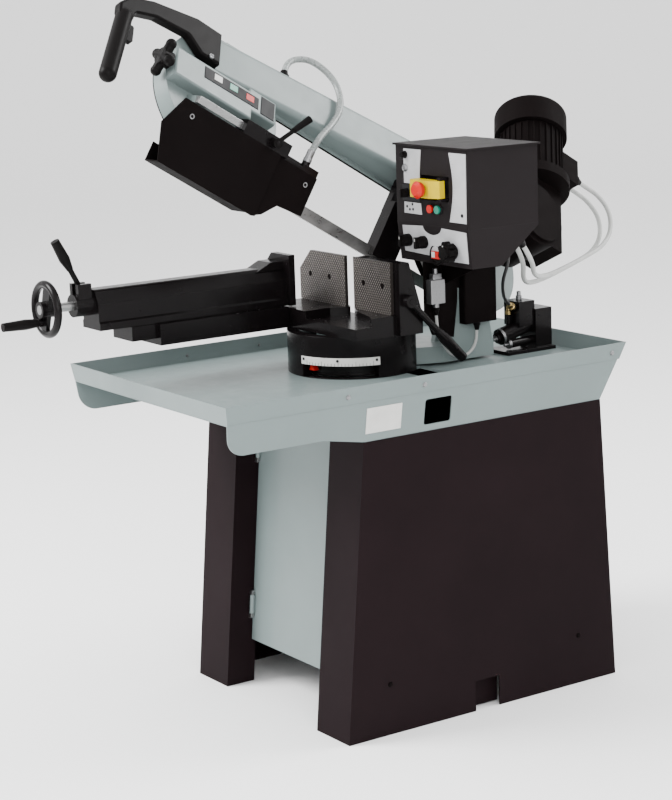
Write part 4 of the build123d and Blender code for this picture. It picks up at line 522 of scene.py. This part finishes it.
tilt = math.radians(31)  # how far the arm is raised
lean = math.radians(32)  # how far the bow leans over the cut
sideways = Vector((1, 0, 0))
along = Vector((0, -math.cos(tilt), math.sin(tilt)))
rise = Vector((0, math.sin(tilt), math.cos(tilt)))
bowUp = rise * math.cos(lean) - sideways * math.sin(lean)
bowOut = sideways * math.cos(lean) + rise * math.sin(lean)
pivot = Vector((0, 0.140, 0.989))
bowRoot = Vector((-0.078163, 0.160646, 1.023361))


def bowPoint(s, b, a):  # along the bow, out of its side, towards its back
    return bowRoot + along * s + bowOut * b + bowUp * a


def cutPoint(s, x, u):  # along the cut, sideways, away from the work
    return pivot + along * s + sideways * x + rise * u


# ways to make a piece

nutSides = 24  # corners round a small turned piece
ringEdge = 0.0006  # broken edge on a ring's outer rim


def addPiece(name, mesh, finish, body):
    made = bpy.data.objects.new(name, mesh)
    bpy.context.collection.objects.link(made)
    mesh.materials.append(finish)
    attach(made, body)


def turned(name, base, axis, profile, finish, body, sides=32):
    addPiece(name, turnedMesh(name, base, axis, profile, sides), finish, body)


def ring(name, base, axis, inner, outer, height, finish, body):
    edge = min(ringEdge, height / 3)
    profile = [(0, outer), (height - edge, outer), (height, outer - edge)]
    profile += [(height, inner), (0, inner), (0, outer)]
    addPiece(name, turnedMesh(name, base, axis, profile, closed=False), finish, body)


def slab(name, corners, lift, finish, body, rounding=0.0):
    shape = bmesh.new()
    back = [shape.verts.new(corner) for corner in corners]
    front = [shape.verts.new(corner + lift) for corner in corners]
    shape.faces.new(front)
    shape.faces.new(back[::-1])
    for here in range(len(corners)):
        after = (here + 1) % len(corners)
        shape.faces.new((back[here], back[after], front[after], front[here]))
    if rounding:
        rim = [edge for edge in shape.edges if all(corner in front for corner in edge.verts)]
        bmesh.ops.bevel(shape, geom=rim, offset=rounding, segments=3, affect="EDGES", clamp_overlap=True)
    bmesh.ops.recalc_face_normals(shape, faces=shape.faces)
    mesh = bpy.data.meshes.new(name)
    shape.to_mesh(mesh)
    shape.free()
    addPiece(name, mesh, finish, body)


def rectangle(acrossLow, acrossHigh, low, high):  # four corners, round from the lower left
    return [(acrossLow, low), (acrossHigh, low), (acrossHigh, high), (acrossLow, high)]


def middleOf(node):
    low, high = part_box(node)
    return (low + high) / 2


def seat(node, start, direction):  # where a straight look from start meets a CAD piece
    found, place, normal, face = cadNodes[node].ray_cast(Vector(start), Vector(direction).normalized())
    if not found:
        raise ValueError("nothing of " + node + " lies that way")
    return place, normal


# cords

cordSteps = 20  # steps between two points of a cord's route


def routeCurve(name, points):
    curve = bpy.data.curves.new(name, "CURVE")
    curve.dimensions = "3D"
    curve.resolution_u = cordSteps
    line = curve.splines.new("NURBS")
    line.points.add(len(points) - 1)
    for spot, place in zip(line.points, points):
        spot.co = (*place, 1)
    line.order_u = 3
    line.use_endpoint_u = True
    return curve


def linePoints(curve):
    holder = bpy.data.objects.new("routeLine", curve)
    bpy.context.collection.objects.link(holder)
    line = bpy.data.meshes.new_from_object(holder)
    places = [corner.co.copy() for corner in line.vertices]
    bpy.data.objects.remove(holder)
    bpy.data.meshes.remove(line)
    return places


def tubeMesh(name, places, radius, sides=16):
    points = []
    side = (places[1] - places[0]).orthogonal().normalized()
    for here, place in enumerate(places):
        before = places[max(here - 1, 0)]
        after = places[min(here + 1, len(places) - 1)]
        heading = (after - before).normalized()
        side = (side - heading * side.dot(heading)).normalized()
        points += circle(place, side, heading.cross(side), radius, sides)
    mesh = bpy.data.meshes.new(name)
    mesh.from_pydata(points, [], wallFaces(len(places), sides))
    mesh.shade_smooth()
    return mesh


def bendingCord(name, node, points, look, finish):
    places = linePoints(routeCurve(name, points))
    mesh = tubeMesh(name, places, look["diameter"] / 2)
    mesh.materials.append(finish)
    made = bpy.data.objects.new(name, mesh)
    bpy.context.collection.objects.link(made)
    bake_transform(made)
    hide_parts(node)


coolant = {
    "length": 0.470, "diameter": 0.015, "stiffness": "medium",
    "fitting": (0.446, 0.006, 0.016), "straight": 0.050,  # up from the fitting on the guide
    "over": [  # over the bow from its collar, in bowPoint's measures
        (0.505, 0.031, 0.152), (0.505, 0.031, 0.186), (0.484, 0.037, 0.218), (0.441, 0.052, 0.232),
        (0.384, 0.070, 0.198), (0.368, 0.080, 0.126), (0.392, 0.080, 0.060),
    ],
    "guideFrom": (0.505, 0.1035, 0.134),  # from here on it goes with the guide
    "collar": [(-0.001, 0.0125), (0.006, 0.0125), (0.008, 0.0100), (0.018, 0.0088)],
    "clip": [(-0.002, 0.0098), (0.006, 0.0098), (0.007, 0.0088), (0.026, 0.0088), (0.027, 0.0080)],
}


def addCoolantHose(look):
    fitting = cutPoint(*look["fitting"])
    route = [bowPoint(*spot) for spot in look["over"]] + [fitting + rise * look["straight"], fitting]
    bendingCord("coolantHose", "coolant_hose", route, look, hoseClear)
    turned("hoseCollar", route[0], bowUp, look["collar"], blackPlastic, "arm")
    turned("hoseFerrule", fitting, rise, look["clip"], zinc, "guide")


addCoolantHose(coolant)

motorLeads = {
    "length": (0.871, 0.873), "diameter": 0.011, "stiffness": "medium",
    "glands": ((-0.0529, 0.5875, 1.1182), (-0.0800, 0.5787, 1.1037)),  # on the motor's box
    "straight": 0.044,
    "over": [  # the first lead's way round behind the turret
        (-0.040, 0.650, 1.076), (-0.020, 0.668, 1.038), (0.000, 0.656, 0.992), (0.024, 0.608, 0.962),
        (0.058, 0.530, 0.950), (0.108, 0.424, 0.940), (0.172, 0.308, 0.936), (0.240, 0.212, 0.952),
    ],
    "beside": (-0.028, -0.010, -0.016),  # from the first lead to the second
    "bends": (6, 9),  # the points between which it passes from arm to turret
    "entry": (0.326, 0.100, 1.0562), "spacing": 0.028, "boxStraight": 0.062,
    "boxBelow": (0, 0.617, -0.787),  # square to the control box's underside
    "nut": [(0, 0.0118), (0.010, 0.0118), (0.012, 0.0098), (0.024, 0.0066)],
    "nutSunk": (0.008, 0.002),  # in the motor's box and in the control box
}


def addMotorLead(lead, name, node, look):
    gland = Vector(look["glands"][lead])
    below = Vector(look["boxBelow"])
    beside = Vector(look["beside"]) * lead
    entry = Vector(look["entry"]) - sideways * look["spacing"] * lead
    route = [gland, gland - along * look["straight"]]
    route += [Vector(spot) + beside for spot in look["over"]]
    route += [entry + below * look["boxStraight"], entry]
    facts = {"length": look["length"][lead], "diameter": look["diameter"], "stiffness": look["stiffness"]}
    bendingCord(name, node, route, facts, cableGrey)
    inMotor, inBox = look["nutSunk"]
    nut = look["nut"]
    turned(name + "MotorGland", gland + along * inMotor, -along, nut, blackPlastic, "arm", nutSides)
    turned(name + "BoxGland", entry - below * inBox, below, nut, blackPlastic, "turret", nutSides)


addMotorLead(0, "motorCable", "motor_cable", motorLeads)
addMotorLead(1, "sensorCable", "sensor_cable", motorLeads)

switchLead = {
    "length": 0.249, "diameter": 0.007, "across": 0.139,
    "loop": [  # towards the back, up
        (0.011, 0.890), (0.011, 0.850), (0.026, 0.808), (0.057, 0.775),
        (0.095, 0.772), (0.121, 0.794), (0.126, 0.828), (0.126, 0.846),
    ],
    "nut": [(0, 0.0084), (0.006, 0.0084), (0.008, 0.0070), (0.018, 0.0046)],
    "nutSunk": (0.004, 0.001),  # in the switch and in the bracket
}


def addSwitchCable(look):
    route = [(look["across"], y, z) for y, z in look["loop"]]
    curve = routeCurve("switchCable", route)
    curve.bevel_depth = look["diameter"] / 2
    curve.bevel_resolution = 6
    curve.use_fill_caps = True
    curve.materials.append(cableGrey)
    made = bpy.data.objects.new("switchCable", curve)
    bpy.context.collection.objects.link(made)
    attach(made, "turret")
    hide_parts("switch_cable")
    down = Vector((0, 0, -1))
    for name, spot, sunk in zip(("switchGland", "junctionGland"), (route[0], route[-1]), look["nutSunk"]):
        turned(name, Vector(spot) - down * sunk, down, look["nut"], blackPlastic, "turret", nutSides)


addSwitchCable(switchLead)

hydraulics = {
    "length": 0.295, "diameter": 0.008, "stiffness": "stiff",
    "socket": (0.262, 0.124, 1.075), "socketOut": (-0.45, 0.35, -0.82), "socketRun": (0.014, 0.056),
    "end": (0.110, 0.254, 0.862), "endOut": (0.52, -0.76, 0.39), "endRun": 0.036,
    "sag": [  # from the end on the hydraulic unit
        (0.116, -0.104, 0.124), (0.094, -0.102, 0.086), (0.068, -0.082, 0.056), (0.042, -0.058, 0.034),
    ],
    "bends": (1, 6),  # the points between which it passes from turret to stand
    "nut": [(0, 0.0088), (0.010, 0.0088), (0.011, 0.0066), (0.026, 0.0062), (0.028, 0.0046)],
    "nutOut": (0.008, 0.002),
}


def addHydraulicHose(look):
    socket = Vector(look["socket"])
    socketOut = Vector(look["socketOut"]).normalized()
    end = Vector(look["end"])
    endOut = Vector(look["endOut"]).normalized()
    route = [socket + socketOut * run for run in look["socketRun"]]
    route += [end + Vector(spot) for spot in look["sag"]]
    route += [end + endOut * look["endRun"], end]
    bendingCord("hydraulicHose", "hydraulic_hose", route, look, hoseBlack)
    atBox, atUnit = look["nutOut"]
    turned("boxHoseNut", socket + socketOut * atBox, socketOut, look["nut"], zinc, "turret", nutSides)
    turned("unitHoseNut", end + endOut * atUnit, endOut, look["nut"], brass, "stand", nutSides)


addHydraulicHose(hydraulics)
print("cords laid")


# control panel, with places across and up on its face

panel = {
    "face": -0.055, "seam": 1.091, "foot": 1.006, "setBack": 0.009,  # the lower half leans back to its foot
    "thick": 0.0012, "sunk": 0.0003, "rounding": 0.0004,
    "leftEdge": (0.186, 1.111, 1.254), "leftHollow": -0.0063,  # how far a strip's inner edge curves in
    "leftFoot": [(0.122, 1.178), (0.1805, 1.178)], "leftTop": (0.122, 1.254),
    "leftLower": [(0.121, 1.112), (0.1855, 1.112), (0.182, 1.137), (0.1215, 1.137)],
    "recess": (0.116, 0.180, 1.139, 1.176),
    "rightEdge": (0.285, 1.104, 1.253), "rightHollow": 0.014, "rightSide": [(0.344, 1.104), (0.345, 1.253)],
    "ticks": 24, "tickWide": 0.0045, "longTick": 1.7, "longEvery": 4,
    "tickIn": 0.002, "tickTall": 0.0008, "tickThick": 0.0003,
    "notchMiddle": (0.220, 1.088), "notchSize": (0.034, 0.018), "notchSteps": 10,
    "lowerLeft": (0.111, 1.084),
    "lowerRest": [(0.341, 1.085), (0.339, 1.017), (0.250, 1.017), (0.203, 1.023), (0.111, 1.026)],
    "fuseAt": (0.129, 1.241),
    "fuse": [(0, 0.0085), (0.004, 0.0085), (0.005, 0.0070), (0.013, 0.0066), (0.014, 0.0056)],
    "lampAt": (0.128, 1.212),
    "lamp": [(0, 0.0088), (0.003, 0.0088), (0.004, 0.0076), (0.006, 0.0066), (0.0075, 0.0035)],
    "dotsAt": [(0.132, 1.127), (0.152, 1.133), (0.142, 1.121), (0.154, 1.122)],
    "dot": [(0, 0.0030), (0.0022, 0.0030), (0.0028, 0.0020)], "dotSides": 20,
    "screwAt": (0.330, 1.121),
    "screw": [(0, 0.0040), (0.0025, 0.0040), (0.0035, 0.0028), (0.0027, 0.0014)],
    "buttonRing": (0.0094, 0.0114, 0.003),  # inner radius, outer radius, height
    "rockerRing": (0.0190, 0.0230, 0.0035),
}
toFront = Vector((0, -1, 0))


def onPanel(x, z):
    drop = max(0.0, panel["seam"] - z) / (panel["seam"] - panel["foot"])
    return Vector((x, panel["face"] + panel["setBack"] * drop + panel["sunk"], z))


def hollowEdge(x, low, high, depth, steps=10):  # points up an edge that curves in between its two ends
    edge = []
    for step in range(steps + 1):
        share = step / steps
        edge.append((x + depth * math.sin(math.pi * share), low + (high - low) * share))
    return edge


def panelPlate(name, outline, finish):
    corners = [onPanel(x, z) for x, z in outline]
    slab(name, corners, toFront * (panel["thick"] + panel["sunk"]), finish, "turret", panel["rounding"])


def addPlates(look):
    inner = hollowEdge(*look["leftEdge"], look["leftHollow"])
    upper = [point for point in inner if point[1] > look["leftFoot"][0][1]]
    panelPlate("leftStripUpper", look["leftFoot"] + upper + [look["leftTop"]], panelGrey)
    panelPlate("leftStripLower", look["leftLower"], panelGrey)
    panelPlate("selectorRecess", rectangle(*look["recess"]), inkDark)
    edge = hollowEdge(*look["rightEdge"], look["rightHollow"])
    panelPlate("rightStrip", look["rightSide"] + edge[::-1], panelGrey)
    notch = []
    for step in range(look["notchSteps"] + 1):
        angle = math.pi * step / look["notchSteps"]
        x = look["notchMiddle"][0] + look["notchSize"][0] * math.cos(angle)
        notch.append((x, look["notchMiddle"][1] - look["notchSize"][1] * math.sin(angle)))
    panelPlate("lowerPlate", [look["lowerLeft"]] + notch[::-1] + look["lowerRest"], panelGrey)


def addStripTicks(look):  # along the right strip's hollow edge
    edge = hollowEdge(*look["rightEdge"], look["rightHollow"], look["ticks"])
    for step in range(1, look["ticks"]):
        x, z = edge[step]
        x += look["tickIn"]
        reach = look["tickWide"] * (look["longTick"] if step % look["longEvery"] == 0 else 1)
        outline = rectangle(x, x + reach, z, z + look["tickTall"])
        corners = [onPanel(*spot) + toFront * look["thick"] for spot in outline]
        slab("stripTick%d" % step, corners, toFront * look["tickThick"], zinc, "turret")


def addPanelTrim(look):
    turned("fuseCap", onPanel(*look["fuseAt"]), toFront, look["fuse"], blackPlastic, "turret")
    turned("lampRing", onPanel(*look["lampAt"]), toFront, look["lamp"], zinc, "turret")
    sides = look["dotSides"]
    for count, spot in enumerate(look["dotsAt"]):
        turned("panelDot%d" % count, onPanel(*spot), toFront, look["dot"], inkDark, "turret", sides)
    turned("panelScrew", onPanel(*look["screwAt"]), toFront, look["screw"], inkDark, "turret", sides)
    for node in ("red_button", "green_button"):
        middle = middleOf(node)
        ring(node + "Ring", onPanel(middle.x, middle.z), toFront, *look["buttonRing"], inkDark, "turret")
    middle = middleOf("rocker_switch")
    ring("rockerBezel", onPanel(middle.x, middle.z), toFront, *look["rockerRing"], blackPlastic, "turret")


addPlates(panel)
addStripTicks(panel)
addPanelTrim(panel)

lookFrom = 0.05  # how far in front of a knob the search for its face starts

marks = {
    "wide": 0.0018, "tall": 0.006, "raise": 0.0005, "sunk": 0.0004,
    "below": 0.16,  # share of the knob's height above the line
}


def markKnob(name, node, body, look):  # the pale line on a knob's front
    low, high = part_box(node)
    x = middleOf(node).x
    top = high.z - (high.z - low.z) * look["below"]
    place = seat(node, (x, low.y - lookFrom, top - look["tall"] / 2), (0, 1, 0))[0]
    half = look["wide"] / 2
    outline = rectangle(-half, half, top - look["tall"], top)
    corners = [Vector((x + across, place.y + look["sunk"], z)) for across, z in outline]
    slab(name, corners, toFront * (look["sunk"] + look["raise"]), scaleWhite, body)


markKnob("leftKnobMark", "left_dial", "left_knob", marks)
markKnob("midKnobMark", "mid_dial", "mid_knob", marks)
markKnob("flowKnobMark", "flow_knob", "flow_valve", marks)

rockerPad = {"from": -0.0135, "to": -0.002, "half": 0.0060, "sunk": 0.0003, "thick": 0.0008}


def addRockerFace(look):  # pale left half of the rocker
    middle = middleOf("rocker_switch")
    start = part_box("rocker_switch")[0].y - lookFrom
    corners = []
    for x, z in rectangle(look["from"], look["to"], -look["half"], look["half"]):
        place = seat("rocker_switch", (middle.x + x, start, middle.z + z), (0, 1, 0))[0]
        corners.append(place - toFront * look["sunk"])
    slab("rockerFace", corners, toFront * look["thick"], scaleWhite, "rocker")


addRockerFace(rockerPad)
print("control panel dressed")


# saw arm

armTrim = {
    "face": 0.0524, "thick": 0.0016, "rounding": 0.0006,  # of the gauge, out of the bow's side
    "strip": [(0.590, 0.029), (0.744, 0.028), (0.744, -0.003), (0.590, -0.002)],
    "plate": [(0.544, 0.040), (0.583, 0.040), (0.583, -0.008), (0.544, -0.008)],
    "marks": {  # along the bow, finish
        "gaugePale": (0.706, scaleWhite),
        "gaugeGreen": (0.662, signalGreen),
        "gaugeRed": (0.615, signalRed),
    },
    "markHalf": 0.011, "markTop": (0.024, 0.023), "markFoot": (0.008, 0.007), "markSunk": 0.0002,
    "markThick": 0.0006,
    "screw": [(-0.001, 0.0062), (0.0025, 0.0062), (0.0036, 0.0050), (0.0026, 0.0028), (0.0010, 0.0026)],
    "guardScrews": {"guardScrewFront": (0.769, 0.034, -0.038), "guardScrewRear": (0.435, 0.019, -0.035)},
    "handleScrew": (0.727, 0.048, 0.068),
}


def onBow(outline, b):
    return [bowPoint(s, b, a) for s, a in outline]


def addArmTrim(look):
    face = look["face"]
    lift = bowOut * look["thick"]
    slab("gaugeStrip", onBow(look["strip"], face), lift, inkDark, "arm", look["rounding"])
    slab("gaugePlate", onBow(look["plate"], face), lift, inkDark, "arm", look["rounding"])
    for name, (middle, finish) in look["marks"].items():
        left, right = middle - look["markHalf"], middle + look["markHalf"]
        mark = [(left, look["markTop"][0]), (right, look["markTop"][1])]
        mark += [(right, look["markFoot"][1]), (left, look["markFoot"][0])]
        corners = onBow(mark, face + look["thick"] - look["markSunk"])
        slab(name, corners, bowOut * look["markThick"], finish, "arm")
    for name, spot in look["guardScrews"].items():
        turned(name, cutPoint(*spot), sideways, look["screw"], zinc, "guide", nutSides)
    turned("handleScrew", bowPoint(*look["handleScrew"]), bowOut, look["screw"], zinc, "arm", nutSides)


addArmTrim(armTrim)

teeth = {
    "from": 0.197, "to": 0.478,  # the bare stretch of the blade, along the cut
    "edge": -0.0985, "half": 0.00042,  # its cutting edge, and half its thickness
    "pitch": 0.0042, "deep": 0.0022, "root": 0.0004,
    "wide": 0.9, "tip": 0.75,  # shares of the pitch
}


def addTeeth(look):
    points = []
    faces = []
    pitch = look["pitch"]
    for step in range(int((look["to"] - look["from"]) / pitch)):
        s = look["from"] + step * pitch
        end = s + pitch * look["wide"]
        corner = [(s, look["root"]), (end, look["root"]), (s + pitch * look["tip"], -look["deep"])]
        first = len(points)
        for x in (-look["half"], look["half"]):
            points.extend(cutPoint(where, x, look["edge"] + deep) for where, deep in corner)
        faces.append((first, first + 1, first + 2))
        faces.append((first + 5, first + 4, first + 3))
        for here in range(3):
            after = (here + 1) % 3
            faces.append((first + here, first + 3 + here, first + 3 + after, first + after))
    mesh = bpy.data.meshes.new("bladeTeeth")
    mesh.from_pydata(points, [], faces)
    addPiece("bladeTeeth", mesh, bandSteel, "arm")


addTeeth(teeth)
print("saw arm dressed")


# turret, table and stand

scale = {
    "centre": Vector((0, -0.121, 0)), "radius": 0.1516, "low": 0.786, "high": 0.804,
    "from": 8, "to": 75,  # degrees round the drum from its front towards the right
    "tickEvery": 3, "longEvery": 15, "tickMargin": (4, 2),
    "tick": 0.0007, "tickTall": 0.006, "longTall": 0.010, "tickSunk": 0.0003, "tickThick": 0.0006,
    "rivet": [(-0.0003, 0.0032), (0.0012, 0.0030), (0.0020, 0.0016)],
    "rivetSunk": 0.0002, "rivetDown": 0.006, "rivetSides": 20,
    "band": 0.1238, "bandWall": 0.003, "bandFoot": 0.7595, "bandTall": 0.026,
    "pointer": [(8.0, 0.770), (16.0, 0.770), (14.0, 0.780), (10.5, 0.784)],  # degrees, height
    "pointerAim": 12.0, "pointerThick": 0.014, "pointerRounding": 0.001,
}


def onScale(degrees, radius, z):
    angle = math.radians(degrees)
    return scale["centre"] + Vector((radius * math.sin(angle), -radius * math.cos(angle), z))


def addScale(look):
    first = look["from"] + look["tickMargin"][0]
    low = look["low"]
    half = math.degrees(look["tick"] / 2 / look["radius"])
    for degrees in range(first, look["to"] - look["tickMargin"][1], look["tickEvery"]):
        tall = look["longTall"] if (degrees - first) % look["longEvery"] == 0 else look["tickTall"]
        outline = rectangle(degrees - half, degrees + half, low, low + tall)
        corners = [onScale(turn, look["radius"] - look["tickSunk"], z) for turn, z in outline]
        out = onScale(degrees, look["tickThick"], 0) - look["centre"]
        slab("scaleTick%d" % degrees, corners, out, inkDark, "stand")
    for count, degrees in enumerate((look["from"], (look["from"] + look["to"]) / 2, look["to"])):
        out = onScale(degrees, 1, 0) - look["centre"]
        place = onScale(degrees, look["radius"] - look["rivetSunk"], look["high"] - look["rivetDown"])
        turned("scaleRivet%d" % count, place, out, look["rivet"], inkDark, "stand", look["rivetSides"])
    foot = look["centre"] + Vector((0, 0, look["bandFoot"]))
    inner = look["band"] - look["bandWall"]
    ring("swivelBand", foot, (0, 0, 1), inner, look["band"], look["bandTall"], blackCastPaint, "turret")
    corners = [onScale(degrees, look["band"], z) for degrees, z in look["pointer"]]
    out = onScale(look["pointerAim"], look["pointerThick"], 0) - look["centre"]
    slab("anglePointer", corners, out, signalRed, "turret", look["pointerRounding"])


addScale(scale)

standTrim = {
    "plate": (-0.316, -0.224, 0.681, 0.738),  # bare plate on the apron: front, back, foot, top
    "plateThick": 0.0009, "plateSunk": 0.0002, "plateRounding": 0.0003, "plateFrom": 0.6,
    "lock": (0.172, 0.407), "lockFrom": -1.2,  # across and up on the door
    "barrel": [
        (-0.001, 0.0130), (0.003, 0.0130), (0.005, 0.0115),
        (0.005, 0.0080), (0.008, 0.0076), (0.009, 0.0060),
    ],
    "tabHalf": 0.046, "tabTop": 0.082, "tabFoot": 0.003, "tabSheet": 0.002, "tabDepth": 0.024,
    "tabSunk": 0.0004, "tabFrom": 0.1,
}


def addStandTrim(look):
    corners = []
    for y, z in rectangle(*look["plate"]):
        place, normal = seat("base_box", (look["plateFrom"], y, z), (-1, 0, 0))
        corners.append(place - normal * look["plateSunk"])
    lift = normal * (look["plateThick"] + look["plateSunk"])
    slab("blankPlate", corners, lift, scaleWhite, "stand", look["plateRounding"])
    across, up = look["lock"]
    place, normal = seat("cabinet_door", (across, look["lockFrom"], up), (0, 1, 0))
    turned("doorLock", place, normal, look["barrel"], blackPlastic, "door")
    top, foot, sheet, half = look["tabTop"], look["tabFoot"], look["tabSheet"], look["tabHalf"]
    wall = seat("side_panel_right", (look["tabFrom"], 0, top), (1, 0, 0))[0].x  # inner side of the panel
    far = wall - look["tabDepth"]
    near = wall + look["tabSunk"]
    fold = [(far, foot), (far + sheet, foot), (far + sheet, top - sheet)]
    fold += [(near, top - sheet), (near, top), (far, top)]
    corners = [Vector((x, -half, z)) for x, z in fold]
    slab("footTab", corners, Vector((0, half * 2, 0)), standCoat, "stand")


addStandTrim(standTrim)

unitTrim = {
    "corner": Vector((0.100, 0.216, 0.756)),  # where the hydraulic unit's foot starts on the tray
    "ram": (0, -0.967, -0.255), "lowerRam": (0, -0.998, -0.055),  # the way each ram points
    "collarAt": (0, 0.006, 0.0385),
    "collar": [(-0.006, 0.0197), (-0.001, 0.0197), (0, 0.019), (0.002, 0.0130)],
    "rodAt": (0, -0.003, 0.0362),
    "rod": [(0, 0.0070), (0.003, 0.0070), (0.004, 0.0045), (0.009, 0.0045), (0.010, 0.0036)],
    "lowerAt": (0.008, 0.025, 0.0201),
    "lower": [(-0.005, 0.0107), (0.001, 0.0107), (0.002, 0.010), (0.002, 0.0040), (0.012, 0.0036)],
    "bleedAt": (-0.008, 0.040, 0.088), "topAt": (-0.016, 0.078, 0.118),
    "nut": [(-0.001, 0.0072), (0.008, 0.0072), (0.009, 0.0054), (0.018, 0.0050), (0.019, 0.0036)],
}


def addUnitTrim(look):
    up = (0, 0, 1)

    def at(spot):
        return look["corner"] + Vector(look[spot])

    turned("ramCollar", at("collarAt"), look["ram"], look["collar"], zinc, "stand")
    turned("ramRod", at("rodAt"), look["ram"], look["rod"], zinc, "stand", nutSides)
    turned("lowerRamRing", at("lowerAt"), look["lowerRam"], look["lower"], zinc, "stand", nutSides)
    turned("bleedNut", at("bleedAt"), up, look["nut"], brass, "stand", nutSides)
    turned("topNut", at("topAt"), up, look["nut"], zinc, "stand", nutSides)


addUnitTrim(unitTrim)
print("stand and table dressed")
